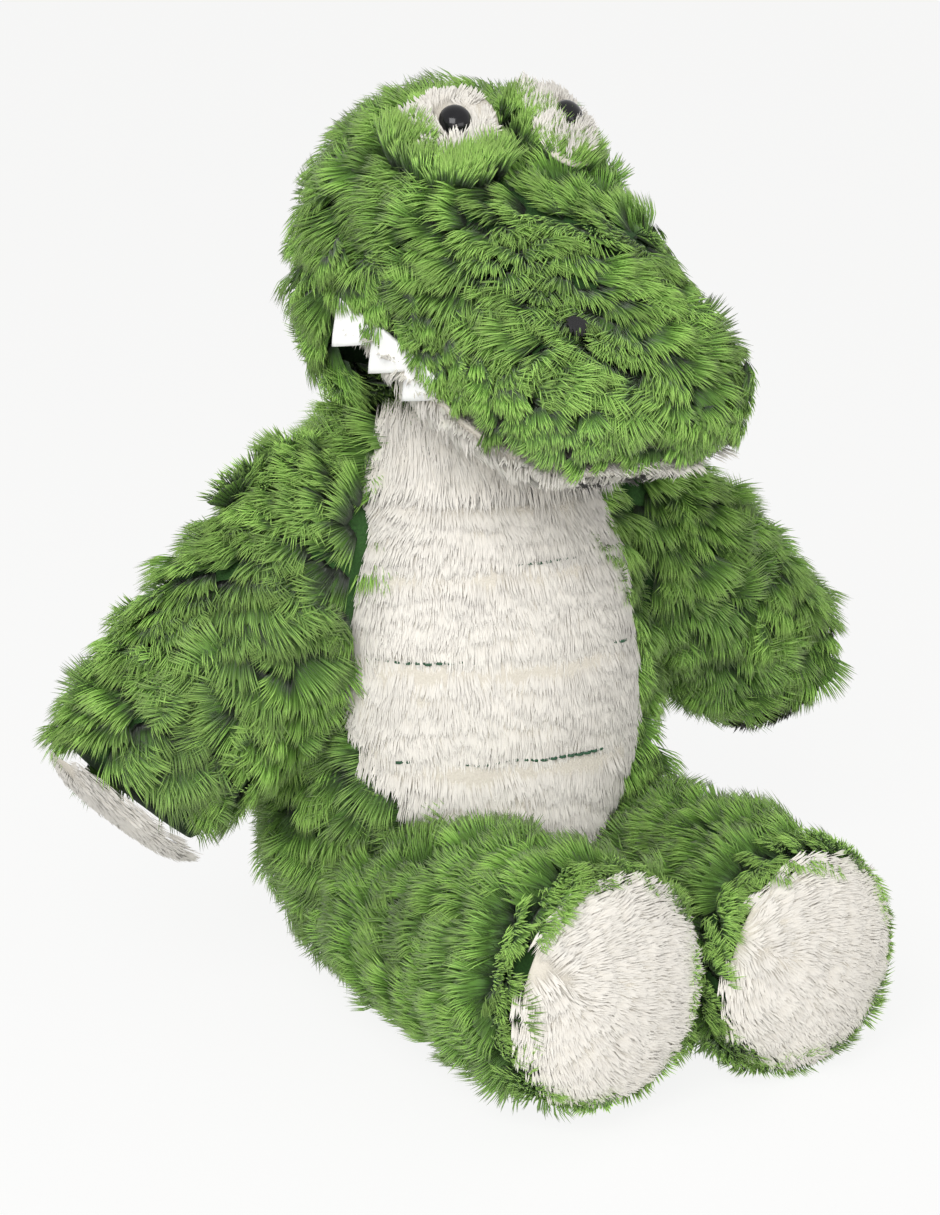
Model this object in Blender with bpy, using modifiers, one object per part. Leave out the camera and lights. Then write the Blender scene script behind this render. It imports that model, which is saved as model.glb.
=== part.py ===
"""Plush crocodile, seated, with its arms spread and its head nodding forward.

Every stuffed piece is a closed form that swells and tapers, as large as its long pile.
The toy faces -Y, its right side is at -X, and it sits on the plane Z = 0.
The origin is on the floor under the middle of the torso.
"""

import math

import bmesh
import bpy
from mathutils import Matrix, Vector

# Clearances
SEAM_GAP = 0.0004
SWING_GAP = 0.0009
FLOOR_CUT = 0.0005
CUT_OVERRUN = 0.010
# the second room cut for a moving piece is looser than the first, so that no two walls coincide
WIDER = 1.6
JAW_SIDE_WIDER = 2.0
ELLIPSE_POWER = 2

# Torso: a pear that is cut flat under the seat and at the neck
TORSO_HEIGHT = 0.179
TORSO_HALF_WIDTH = 0.067
TORSO_HALF_DEPTH = 0.059
NECK_SEAT_HEIGHT = 0.174
# height, half width and half depth, each as a share of the torso's own
TORSO_SHARES = (
    (0.00, 0.54, 0.54),
    (0.04, 0.72, 0.72),
    (0.11, 0.88, 0.87),
    (0.21, 0.98, 0.97),
    (0.32, 1.00, 1.00),
    (0.44, 0.94, 0.98),
    (0.56, 0.89, 0.94),
    (0.70, 0.85, 0.87),
    (0.80, 0.80, 0.79),
    (0.88, 0.70, 0.69),
    (0.95, 0.58, 0.58),
    (1.00, 0.46, 0.48),
)

# Belly panel: pale plush, quilted across by rows of thread
PANEL_BOTTOM = 0.058
PANEL_TOP = 0.170
PANEL_HALF_ANGLE = math.radians(57)
# the panel's middle is turned this far to the toy's right, as the stuffed body is twisted on its seat
PANEL_TURN = math.radians(6)
PANEL_DEPTH = 0.0045
PANEL_RISE = 0.0028
PANEL_GROOVE = 0.0022
PANEL_PUFF_POWER = 0.7
PANEL_RIM_POWER = 4
# how far up the panel each row of stitching runs
QUILT_ROW_SHARES = (0.25, 0.50892857, 0.75, 0.91964286)
QUILT_ROWS = tuple(PANEL_BOTTOM + share * (PANEL_TOP - PANEL_BOTTOM) for share in QUILT_ROW_SHARES)
PANEL_COLUMNS = 10
PANEL_ROWS_PER_CHANNEL = 4
# how wide the panel is from its bottom end to its top end
PANEL_WIDTH_SHARES = ((0.0, 0.34), (0.07, 0.48), (0.20, 0.74), (0.32, 0.94), (0.46, 1.0), (0.85, 1.0), (1.0, 0.90))
THREAD_RADIUS = 0.0005
THREAD_SHARE = 0.86
THREAD_POINTS = 13
THREAD_SMOOTHNESS = 1

# Head: crown and snout in one form, nodding forward, with its places counted from HEAD_PLACE
HEAD_PITCH = math.radians(24)
HEAD_RISE = 0.010
HEAD_SET_BACK = 0.005
HEAD_PLACE = Vector((0, HEAD_SET_BACK, NECK_SEAT_HEIGHT + HEAD_RISE))
HEAD_BACK = 0.065
SNOUT_REACH = 0.099
HEAD_HALF_WIDTH = 0.054
HEAD_CROWN = 0.090
MOUTH_HEIGHT = 0.038
# place along the head from its back, half width, crown, underside, level of the widest part
HEAD_SHARES = (
    (0.000, 0.16, 0.54, 0.90, 0.50),
    (0.030, 0.44, 0.68, 0.42, 0.50),
    (0.090, 0.70, 0.84, 0.06, 0.50),
    (0.190, 0.90, 0.98, -0.17, 0.50),
    (0.310, 1.00, 0.98, -0.21, 0.50),
    (0.410, 0.99, 0.945, -0.10, 0.50),
    (0.510, 0.92, 0.91, 0.40, 0.48),
    (0.590, 0.86, 0.89, 0.92, 0.42),
    (0.685, 0.81, 0.865, 1.00, 0.40),
    (0.800, 0.79, 0.83, 1.00, 0.40),
    (0.900, 0.73, 0.77, 1.00, 0.40),
    (0.965, 0.57, 0.69, 1.02, 0.40),
    (1.000, 0.25, 0.60, 1.12, 0.40),
)
CROWN_POWER = 2.2
UNDERSIDE_POWER = 3.0

# Neck: a short stuffed ball on the torso, inside a socket under the head
NECK_RADIUS = 0.023
NECK_BACK = 0.009
NECK_DROP = 0.004

# Lower jaw: a pale pad hinged at the corners of the mouth
JAW_HINGE_BACK = 0.008
JAW_REACH = 0.094
JAW_HALF_WIDTH = 0.040
JAW_THICKNESS = 0.0195
JAW_LID = 0.0006
JAW_POWER = 2.4
# how much squarer the room for the opening jaw gets for each share of its depth that it opens by
ROOM_POWER_SHARE = 2
ROOM_LID_POWER = 8
JAW_OPEN = math.radians(12)
# place along the jaw from its rounded heel, half width, thickness
JAW_SHARES = (
    (0.00, 0.80, 0.16),
    (0.04, 0.88, 0.55),
    (0.12, 0.93, 0.86),
    (0.24, 0.98, 1.00),
    (0.45, 1.00, 0.95),
    (0.65, 0.97, 0.82),
    (0.82, 0.88, 0.66),
    (0.93, 0.68, 0.50),
    (1.00, 0.34, 0.22),
)

# Teeth: one felt strip along each side of the upper lip, bent to follow it
FELT_THICKNESS = 0.0014
FELT_SINK = 0.0002
TEETH_PER_SIDE = 3
TOOTH_PITCH = 0.0150
TOOTH_LENGTH = 0.0105
TOOTH_LEAN = 0.0050
TOOTH_TIP = 0.0016
TEETH_BACK = 0.0085
TEETH_BAND = 0.0022
TEETH_TUCK = 0.0042

# Eyes: glossy domes on stems, through a pale patch, each locked by a washer behind it
EYE_RADIUS = 0.0047
EYE_RISE = 0.0038
EYE_SPREAD = 0.0175
EYE_BACK = 0.0070
EYE_HEIGHT = 0.0900
EYE_TILT = math.radians(27)
EYE_SPLAY = math.radians(16)
STEM_RADIUS = 0.0016
STEM_LENGTH = 0.0140
WASHER_RADIUS = 0.0060
WASHER_THICKNESS = 0.0012
WASHER_DEPTH = 0.0110
PATCH_RADIUS = 0.0145
PATCH_RISE = 0.0046
PATCH_DEPTH = 0.0040

# Nostrils: small satin-stitched ovals
NOSTRIL_SPREAD = 0.0170
NOSTRIL_FORWARD = 0.0740
NOSTRIL_HEIGHT = 0.0722
NOSTRIL_RADIUS = 0.0034
NOSTRIL_THICKNESS = 0.0016
NOSTRIL_TILT = math.radians(20)

# Arms: sewn to the flanks along flat seams that lean in towards the neck
SHOULDER_HALF_SPREAD = 0.0495
SHOULDER_HEIGHT = 0.143
SHOULDER_TILT = math.radians(15)
ARM_LENGTH = 0.102
ARM_ROOT_RADIUS = 0.0290
ARM_RADIUS = 0.0340
ARM_END_RADIUS = 0.0300
ARM_EDGE = 0.010
RIGHT_ARM_WAY = Vector((-0.71, -0.05, -0.70))
LEFT_ARM_WAY = Vector((0.77, 0.18, -0.61))
PALM_RADIUS = 0.0225
PALM_CROWN = 0.0045

# Legs: forward from under the belly, each turning on a ball in the torso
HIP_HALF_SPREAD = 0.035
HIP_FORWARD = 0.026
HIP_HEIGHT = 0.0358
LEG_LENGTH = 0.100
LEG_ROOT_RADIUS = 0.0315
LEG_RADIUS = 0.0363
LEG_END_RADIUS = 0.0350
LEG_EDGE = 0.010
LEG_YAW = math.radians(3.7)
RIGHT_LEG_LIFT = math.radians(3.5)
LEFT_LEG_LIFT = 0.0
LEG_RAISE = math.radians(5)
LEG_LOWER = math.radians(45)
SOLE_RADIUS = 0.0285
SOLE_CROWN = 0.0065
PAD_RECESS = 0.0040
PAD_EDGE = 0.0030

# Tail: short, behind the seat
TAIL_ROOT_BACK = 0.044
TAIL_ROOT_HEIGHT = 0.030
TAIL_ROOT_RADIUS = 0.0220
TAIL_TIP_RADIUS = 0.0070
TAIL_LENGTH = 0.068
TAIL_TAPER_POWER = 1.2
TAIL_DROOP = math.radians(7)
TAIL_WAG = math.radians(25)

# Facets
CAGE_POINTS = 16
# a Subdivision Surface draws a ring of cage points in by this much
CAGE_GROWTH = 3 / (2 + math.cos(2 * math.pi / CAGE_POINTS))
TURN_STEPS = 24
TRIM_STEPS = 16
LIMB_RINGS = 7
BALL_RINGS = 5
EDGE_RINGS = 3
FAN_STEPS = 4
MERGE = 0.00001
SHARP_ANGLE = math.radians(40)
BLOCK_REACH = TORSO_HEIGHT

# Colours
GREEN = (0.115, 0.305, 0.058, 1)
CREAM = (0.80, 0.75, 0.66, 1)
FELT = (0.86, 0.86, 0.85, 1)
BLACK = (0.008, 0.008, 0.010, 1)
THREAD = (0.020, 0.085, 0.035, 1)
SIDES = (("right", -1), ("left", 1))


def clear_scene():
    for old in list(bpy.data.objects):
        bpy.data.objects.remove(old, do_unlink=True)


def new_collection(name):
    made = bpy.data.collections.new(name)
    bpy.context.scene.collection.children.link(made)
    return made


def make_material(name, colour, roughness):
    made = bpy.data.materials.new(name)
    made.use_nodes = True
    shader = made.node_tree.nodes["Principled BSDF"]
    shader.inputs["Base Color"].default_value = colour
    shader.inputs["Roughness"].default_value = roughness
    shader.inputs["Metallic"].default_value = 0
    return made


def add_object(name, mesh, collection, parent=None):
    made = bpy.data.objects.new(name, mesh)
    collection.objects.link(made)
    made.parent = parent
    return made


def add_part(name, mesh, material, parent=None):
    """A visible sub-part."""
    made = add_object(name, mesh, PARTS, parent)
    mesh.materials.append(material)
    mesh.shade_smooth()
    mesh.set_sharp_from_angle(angle=SHARP_ANGLE)
    return made


def add_cutter(name, mesh, parent=None):
    """A helper that only cuts."""
    made = add_object(name, mesh, CUTTERS, parent)
    made.hide_render = True
    made.display_type = "WIRE"
    return made


def add_empty(name, location, rotation, parent=None):
    made = add_object(name, None, PARTS, parent)
    made.location = location
    made.rotation_mode = "QUATERNION"
    made.rotation_quaternion = rotation
    return made


def place(made, location, way):
    """Stands an object at a point with its own Z along a direction."""
    made.location = location
    made.rotation_mode = "QUATERNION"
    made.rotation_quaternion = Vector(way).to_track_quat("Z", "Y")


def cut(made, cutter):
    boolean = made.modifiers.new("cut by " + cutter.name, "BOOLEAN")
    boolean.operation = "DIFFERENCE"
    boolean.solver = "EXACT"
    boolean.object = cutter


def mesh_from(name, points, faces):
    made = bpy.data.meshes.new(name)
    made.from_pydata([tuple(p) for p in points], [], faces)
    shape = bmesh.new()
    shape.from_mesh(made)
    bmesh.ops.remove_doubles(shape, verts=shape.verts, dist=MERGE)
    bmesh.ops.recalc_face_normals(shape, faces=shape.faces)
    shape.to_mesh(made)
    shape.free()
    return made


def read_share(table, at, column):
    """A column of a table of shares at any place in its first column, by a smooth curve through its rows."""
    rows = [row[0] for row in table]
    after = next((i for i, row in enumerate(rows) if row >= at), len(rows) - 1)
    after = max(after, 1)
    before = after - 1
    span = rows[after] - rows[before]
    t = min(max((at - rows[before]) / span, 0), 1)

    def slope(i):
        low, high = max(i - 1, 0), min(i + 1, len(rows) - 1)
        return (table[high][column] - table[low][column]) / (rows[high] - rows[low])

    return (
        (2 * t**3 - 3 * t**2 + 1) * table[before][column]
        + (t**3 - 2 * t**2 + t) * span * slope(before)
        + (3 * t**2 - 2 * t**3) * table[after][column]
        + (t**3 - t**2) * span * slope(after)
    )


def section(half_width, rise, drop, upper_power, lower_power):
    """The points of a closed section as (across, up), from a superellipse above its widest level and one below it."""
    points = []
    for i in range(CAGE_POINTS):
        turn = 2 * math.pi * i / CAGE_POINTS
        across, up = math.cos(turn), math.sin(turn)
        power = upper_power if up >= 0 else lower_power
        reach = rise if up >= 0 else drop
        across = math.copysign(abs(across) ** (2 / power), across)
        up = math.copysign(abs(up) ** (2 / power), up)
        points.append((across * half_width, up * reach))
    return points


def loft(name, rings):
    """A cage through closed rings of equally many points, for soften() to round."""
    count = len(rings[0])
    points = [p for ring in rings for p in ring]
    faces = []
    for r in range(len(rings) - 1):
        for i in range(count):
            j = (i + 1) % count
            faces.append((r * count + i, r * count + j, (r + 1) * count + j, (r + 1) * count + i))
    faces.append(tuple(range(count)))
    faces.append(tuple((len(rings) - 1) * count + i for i in range(count)))
    return mesh_from(name, points, faces)


def soften(made):
    rounding = made.modifiers.new("rounding", "SUBSURF")
    rounding.levels = 1
    rounding.render_levels = 1


def turned(name, profile):
    """The mesh of a profile of (radius, height) points, from its top to its bottom, for turn() to revolve."""
    closed = profile[0] == profile[-1]
    points = [(radius, 0, height) for radius, height in (profile[:-1] if closed else profile)]
    edges = [(i, i + 1) for i in range(len(points) - 1)]
    made = bpy.data.meshes.new(name)
    made.from_pydata(points, edges + ([(len(points) - 1, 0)] if closed else []), [])
    return made


def turn(made, steps=TURN_STEPS):
    screw = made.modifiers.new("turn", "SCREW")
    screw.steps = steps
    screw.render_steps = steps
    screw.use_merge_vertices = True
    screw.merge_threshold = MERGE
    screw.use_smooth_shade = True


def quarter_turns(count):
    return [math.pi / 2 * (1 - i / count) for i in range(count + 1)]


def arc(centre_radius, centre_height, radius, start, end, count):
    """Profile points along an arc, with angles from the outward direction."""
    points = []
    for i in range(count + 1):
        angle = start + (end - start) * i / count
        points.append((centre_radius + radius * math.cos(angle), centre_height + radius * math.sin(angle)))
    return points


def from_middle(share):
    """A share counted from the middle, from -1 to 1."""
    return 2 * share - 1


def half_space(name, point, way, reach, parent=None):
    """A block whose one face lies through a point, with the whole block on the side that way points to."""
    shape = bmesh.new()
    bmesh.ops.create_cube(shape, size=reach + reach)
    bmesh.ops.translate(shape, verts=shape.verts, vec=(0, 0, reach))
    made = bpy.data.meshes.new(name)
    shape.to_mesh(made)
    shape.free()
    block = add_cutter(name, made, parent)
    place(block, point, way)
    return block


def ball(name, centre, radius, parent=None):
    shape = bmesh.new()
    bmesh.ops.create_uvsphere(shape, u_segments=TURN_STEPS, v_segments=2 * BALL_RINGS, radius=radius)
    made = bpy.data.meshes.new(name)
    shape.to_mesh(made)
    shape.free()
    found = add_cutter(name, made, parent)
    found.location = centre
    return found


def fan(name, centre, axis, first, last, reach, half_length):
    """A wedge about an axis: a sector between two directions, as long along the axis as asked."""
    axis = Vector(axis).normalized()
    outline = [Vector((0, 0, 0))]
    for i in range(FAN_STEPS + 1):
        turned_by = Matrix.Rotation(last * i / FAN_STEPS, 3, axis)
        outline.append(turned_by @ (Vector(first).normalized() * reach))
    points = [p - axis * half_length for p in outline] + [p + axis * half_length for p in outline]
    count = len(outline)
    faces = [tuple(range(count)), tuple(range(count, 2 * count))]
    for i in range(count):
        j = (i + 1) % count
        faces.append((i, j, count + j, count + i))
    found = add_cutter(name, mesh_from(name, points, faces))
    found.location = centre
    return found


def torso_rings(grow=0.0):
    rings = []
    for height, width, depth in TORSO_SHARES:
        level = height * (TORSO_HEIGHT + FLOOR_CUT) - FLOOR_CUT
        outline = section(
            (width * TORSO_HALF_WIDTH + grow) * CAGE_GROWTH,
            (depth * TORSO_HALF_DEPTH + grow) * CAGE_GROWTH,
            (depth * TORSO_HALF_DEPTH + grow) * CAGE_GROWTH,
            ELLIPSE_POWER,
            ELLIPSE_POWER,
        )
        rings.append([(x, y, level) for x, y in outline])
    return rings


def torso_surface(angle, height, offset):
    """The point of the torso's side at an angle from straight ahead, moved out by an offset."""
    share = (height + FLOOR_CUT) / (TORSO_HEIGHT + FLOOR_CUT)
    half_width = read_share(TORSO_SHARES, share, 1) * TORSO_HALF_WIDTH
    half_depth = read_share(TORSO_SHARES, share, 2) * TORSO_HALF_DEPTH
    on_side = Vector((math.sin(angle) * half_width, -math.cos(angle) * half_depth, 0))
    outward = Vector((math.sin(angle) * half_depth, -math.cos(angle) * half_width, 0)).normalized()
    return on_side + outward * offset + Vector((0, 0, height))


def panel_heights():
    """The levels of the belly panel's rows, some to each channel between two lines of quilting."""
    stops = (PANEL_BOTTOM,) + QUILT_ROWS + (PANEL_TOP,)
    levels = []
    for low, high in zip(stops, stops[1:]):
        for i in range(PANEL_ROWS_PER_CHANNEL):
            levels.append(low + (high - low) * i / PANEL_ROWS_PER_CHANNEL)
    return levels + [PANEL_TOP]


def panel_puff(level):
    """How far the panel stands out of the torso: full between two rows of thread, drawn in at them."""
    stops = (PANEL_BOTTOM,) + QUILT_ROWS + (PANEL_TOP,)
    for low, high in zip(stops, stops[1:]):
        if low <= level <= high:
            puff = math.sin(math.pi * (level - low) / (high - low)) ** PANEL_PUFF_POWER
            return PANEL_RISE - PANEL_GROOVE * (1 - puff)
    return PANEL_RISE - PANEL_GROOVE


def panel_mesh(name, grow, outer):
    """The belly panel as a thick patch on the torso. Its cutter is grown, with an outside that clears the torso."""
    levels = panel_heights()
    edge_angle = grow / TORSO_HALF_DEPTH
    span = PANEL_TOP - PANEL_BOTTOM
    inside, outside = [], []
    for k, level in enumerate(levels):
        share = (level - PANEL_BOTTOM) / span
        half = PANEL_HALF_ANGLE * read_share(PANEL_WIDTH_SHARES, share, 1) + edge_angle
        height = level + grow * from_middle(share)
        end = k in (0, len(levels) - 1)
        for i in range(PANEL_COLUMNS + 1):
            across = from_middle(i / PANEL_COLUMNS)
            angle = half * across - PANEL_TURN
            rim = end or i in (0, PANEL_COLUMNS)
            swell = outer if outer else (0 if rim else panel_puff(level) * (1 - across**PANEL_RIM_POWER))
            outside.append(torso_surface(angle, height, swell))
            inside.append(torso_surface(angle, height, -PANEL_DEPTH - grow))
    rows, columns = len(levels), PANEL_COLUMNS + 1
    count = rows * columns
    faces = []
    for k in range(rows - 1):
        for i in range(columns - 1):
            a = k * columns + i
            faces.append((a, a + 1, a + columns + 1, a + columns))
            faces.append((count + a, count + a + columns, count + a + columns + 1, count + a + 1))
    rim = [i for i in range(columns)]
    rim += [k * columns + columns - 1 for k in range(1, rows)]
    rim += [(rows - 1) * columns + i for i in range(columns - 2, -1, -1)]
    rim += [k * columns for k in range(rows - 2, 0, -1)]
    for a, b in zip(rim, rim[1:] + rim[:1]):
        faces.append((a, b, count + b, count + a))
    return mesh_from(name, outside + inside, faces)


def make_torso(green):
    torso = add_part("torso", loft("torso", torso_rings()), green)
    soften(torso)
    cut(torso, half_space("neck seat", (0, 0, NECK_SEAT_HEIGHT), (0, 0, 1), BLOCK_REACH))
    return torso


def make_belly(cream, thread, torso):
    panel = add_part("belly_panel", panel_mesh("belly_panel", 0, None), cream)
    recess = add_cutter("panel recess", panel_mesh("panel recess", WIDER * SEAM_GAP, CUT_OVERRUN))
    for number, level in enumerate(QUILT_ROWS, 1):
        share = (level - PANEL_BOTTOM) / (PANEL_TOP - PANEL_BOTTOM)
        half = PANEL_HALF_ANGLE * read_share(PANEL_WIDTH_SHARES, share, 1) * THREAD_SHARE
        lift = PANEL_RISE - PANEL_GROOVE + THREAD_RADIUS + SEAM_GAP
        path = [
            torso_surface(half * (2 * i / (THREAD_POINTS - 1) - 1) - PANEL_TURN, level, lift)
            for i in range(THREAD_POINTS)
        ]
        thread_along("quilting_thread_%d" % number, path, thread)
    cut(torso, recess)
    return panel


def thread_along(name, path, material):
    """A thread laid along points, as a thin closed tube."""
    curve = bpy.data.curves.new(name, "CURVE")
    curve.dimensions = "3D"
    spline = curve.splines.new("POLY")
    spline.points.add(len(path) - 1)
    for point, co in zip(spline.points, path):
        point.co = (*co, 1)
    curve.bevel_depth = THREAD_RADIUS
    curve.bevel_resolution = THREAD_SMOOTHNESS
    curve.use_fill_caps = True
    made = add_object(name, curve, PARTS)
    curve.materials.append(material)
    return made


def neck_centre():
    """The middle of the neck's ball, about which the head turns and nods."""
    return HEAD_PLACE + Matrix.Rotation(HEAD_PITCH, 3, "X") @ Vector((0, NECK_BACK, -NECK_DROP))


def make_neck(green):
    """A ball cut flat where it stands on the torso."""
    seat = NECK_SEAT_HEIGHT + SEAM_GAP - neck_centre().z
    low = math.asin(seat / NECK_RADIUS)
    profile = arc(0, 0, NECK_RADIUS, math.pi / 2, low, BALL_RINGS + EDGE_RINGS) + [(0, seat)]
    profile[0] = (0, NECK_RADIUS)
    neck = add_part("neck", turned("neck", profile), green)
    neck.location = neck_centre()
    turn(neck)


def head_rings():
    rings = []
    for along, width, crown, underside, level in HEAD_SHARES:
        y = HEAD_BACK - along * (HEAD_BACK + SNOUT_REACH)
        top = crown * HEAD_CROWN
        bottom = underside * MOUTH_HEIGHT
        widest = bottom + level * (top - bottom)
        outline = section(
            width * HEAD_HALF_WIDTH * CAGE_GROWTH,
            (top - widest) * CAGE_GROWTH,
            (widest - bottom) * CAGE_GROWTH,
            CROWN_POWER,
            UNDERSIDE_POWER,
        )
        rings.append([(x, y, widest + z) for x, z in outline])
    return rings


def jaw_rings(grow, opened):
    """The lower jaw about its hinge, or the room it needs to open: its top under the lip, its heel round the hinge."""
    rings = []
    reach = JAW_REACH - JAW_HINGE_BACK
    for along, width, thickness in JAW_SHARES:
        y = JAW_THICKNESS - along * (JAW_THICKNESS + reach)
        swing = max(-y, 0) * math.tan(opened)
        rise = JAW_LID + max(y, 0) * math.tan(opened)
        half_width = width * JAW_HALF_WIDTH * CAGE_GROWTH + JAW_SIDE_WIDER * grow
        depth = thickness * JAW_THICKNESS * CAGE_GROWTH / math.cos(opened) + swing
        power = JAW_POWER * (1 + ROOM_POWER_SHARE * swing / depth)
        outline = section(half_width, rise, depth, ROOM_LID_POWER if opened else ELLIPSE_POWER, power)
        y -= grow * from_middle(along)
        rings.append([(x, y, z + math.copysign(grow, z) - SEAM_GAP - JAW_LID) for x, z in outline])
    return rings


def make_head(green):
    tilt = Matrix.Rotation(HEAD_PITCH, 3, "X").to_quaternion()
    joint = add_empty("neck_joint", neck_centre(), tilt)
    pivot = add_empty("head_frame", (0, -NECK_BACK, NECK_DROP), (1, 0, 0, 0), joint)
    head = add_part("head", loft("head", head_rings()), green, pivot)
    soften(head)
    cut(head, ball("neck socket", (0, NECK_BACK, -NECK_DROP), NECK_RADIUS + SWING_GAP, pivot))
    return pivot, head


def make_jaw(cream, pivot, head):
    jaw = add_part("lower_jaw", loft("lower_jaw", jaw_rings(0, 0)), cream, pivot)
    room = add_cutter("jaw room", loft("jaw room", jaw_rings(SWING_GAP, JAW_OPEN)), pivot)
    for made in (jaw, room):
        made.location = (0, -JAW_HINGE_BACK, MOUTH_HEIGHT)
        soften(made)
    cut(head, room)


def lip_half_width(y):
    """Half the width of the head at the mouth, at a place along the head."""
    along = (HEAD_BACK - y) / (HEAD_BACK + SNOUT_REACH)
    return read_share(HEAD_SHARES, along, 1) * HEAD_HALF_WIDTH


def teeth_mesh(name, sign, grow):
    """A felt strip along one lip: for each tooth a square of band and a flap below it that leans back."""
    points, faces = [], []
    for i in range(TEETH_PER_SIDE):
        ends = (TEETH_BACK + i * TOOTH_PITCH, TEETH_BACK + (i + 1) * TOOTH_PITCH)
        out = [lip_half_width(-end) - FELT_SINK for end in ends]
        first = ends[0] - (grow if i == 0 else 0)
        last = ends[1] + (grow if i == TEETH_PER_SIDE - 1 else 0)
        tip = (ends[0] + ends[1]) / 2 - TOOTH_LEAN
        outline = (
            (first, TEETH_TUCK + grow),
            (last, TEETH_TUCK + grow),
            (first, -TEETH_BAND - 2 * grow),
            (last, -TEETH_BAND - 2 * grow),
            (tip - TOOTH_TIP / 2 - grow, -TOOTH_LENGTH - grow),
            (tip + TOOTH_TIP / 2 + grow, -TOOTH_LENGTH - grow),
        )
        for along, up in outline:
            lip = out[0] + (out[1] - out[0]) * (along - ends[0]) / TOOTH_PITCH
            for thickness in (-FELT_THICKNESS / 2 - grow, FELT_THICKNESS / 2 + grow):
                points.append((sign * (lip + thickness), -along, up))
        a = 12 * i
        for side in (0, 1):
            faces.append((a + side, a + 2 + side, a + 6 + side, a + 4 + side))
            faces.append((a + 4 + side, a + 6 + side, a + 10 + side, a + 8 + side))
        faces.append((a, a + 1, a + 3, a + 2))
        faces.append((a + 4, a + 5, a + 9, a + 8))
        faces.append((a + 8, a + 9, a + 11, a + 10))
        faces.append((a + 10, a + 11, a + 7, a + 6))
        if i == 0:
            faces.append((a, a + 1, a + 5, a + 4))
        if i == TEETH_PER_SIDE - 1:
            faces.append((a + 2, a + 3, a + 7, a + 6))
    return mesh_from(name, points, faces)


def make_teeth(felt, pivot, head):
    for side, sign in SIDES:
        strip = add_part("teeth_" + side, teeth_mesh("teeth_" + side, sign, 0), felt, pivot)
        slot = add_cutter("teeth slot " + side, teeth_mesh("teeth slot", sign, SEAM_GAP), pivot)
        for made in (strip, slot):
            made.location = (0, 0, MOUTH_HEIGHT)
        cut(head, slot)


def eye_profile():
    """The dome with its stem, from the top down. Its seat is at height 0."""
    dome = [(EYE_RADIUS * math.cos(a), EYE_RISE * math.sin(a)) for a in quarter_turns(EDGE_RINGS + 2)]
    dome[0] = (0, EYE_RISE)
    return dome + [(STEM_RADIUS, 0), (STEM_RADIUS, -STEM_LENGTH), (0, -STEM_LENGTH)]


def patch_profile(grow, bore):
    """The pale patch round an eye, a low dome with a round back. With no bore it is the shape of the patch's bed."""
    flat = EYE_RADIUS + SEAM_GAP
    top = PATCH_RISE - SEAM_GAP + grow
    radius = PATCH_RADIUS + grow
    depth = PATCH_DEPTH + grow
    points = [(bore, top)]
    points += [(flat + (radius - flat) * math.cos(a), top * math.sin(a)) for a in quarter_turns(EDGE_RINGS)]
    under = [(bore + (radius - bore) * math.cos(a), -depth * math.sin(a)) for a in quarter_turns(EDGE_RINGS)]
    under[0] = (bore, -depth)
    points += under[-2::-1]
    return points + points[:1] if bore else points


def washer_profile():
    bore = STEM_RADIUS + SEAM_GAP
    top, bottom = -WASHER_DEPTH, -WASHER_DEPTH - WASHER_THICKNESS
    return [(bore, bottom), (bore, top), (WASHER_RADIUS, top), (WASHER_RADIUS, bottom), (bore, bottom)]


def well_profile():
    """The hollow in the head behind a patch, for the stem and the washer."""
    radius = WASHER_RADIUS + SEAM_GAP
    bottom = -STEM_LENGTH - PATCH_RISE - SEAM_GAP
    return [(0, 0), (radius, 0), (radius, bottom), (0, bottom)]


def make_eyes(cream, black, plastic, pivot, head):
    for side, sign in SIDES:
        centre = Vector((sign * EYE_SPREAD, EYE_BACK, EYE_HEIGHT - PATCH_RISE))
        way = Vector((sign * math.sin(EYE_SPLAY), -math.sin(EYE_TILT), math.cos(EYE_TILT)))
        seat = centre + way.normalized() * PATCH_RISE
        patch = add_part("eye_patch_" + side, turned("patch", patch_profile(0, STEM_RADIUS + SEAM_GAP)), cream, pivot)
        eye = add_part("eye_" + side, turned("eye", eye_profile()), black, pivot)
        washer = add_part("eye_washer_" + side, turned("washer", washer_profile()), plastic, pivot)
        bed = add_cutter("patch bed " + side, turned("bed", patch_profile(SEAM_GAP, 0)), pivot)
        well = add_cutter("eye well " + side, turned("well", well_profile()), pivot)
        for made, point in ((patch, centre), (eye, seat), (washer, seat), (bed, centre), (well, centre)):
            place(made, point, way)
            turn(made, TRIM_STEPS)
        cut(head, bed)
        cut(head, well)


def nostril_profile(grow):
    half = NOSTRIL_THICKNESS / 2 + grow
    upper = [((NOSTRIL_RADIUS + grow) * math.cos(a), half * math.sin(a)) for a in quarter_turns(EDGE_RINGS)]
    upper[0] = (0, half)
    lower = [(radius, -height) for radius, height in reversed(upper[:-1])]
    return upper + lower


def make_nostrils(black, pivot, head):
    for side, sign in SIDES:
        way = (0, -math.sin(NOSTRIL_TILT), math.cos(NOSTRIL_TILT))
        point = (sign * NOSTRIL_SPREAD, -NOSTRIL_FORWARD, NOSTRIL_HEIGHT)
        spot = add_part("nostril_" + side, turned("nostril", nostril_profile(0)), black, pivot)
        bed = add_cutter("nostril bed " + side, turned("bed", nostril_profile(SEAM_GAP)), pivot)
        for made in (spot, bed):
            place(made, point, way)
            turn(made, TRIM_STEPS)
        cut(head, bed)


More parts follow.
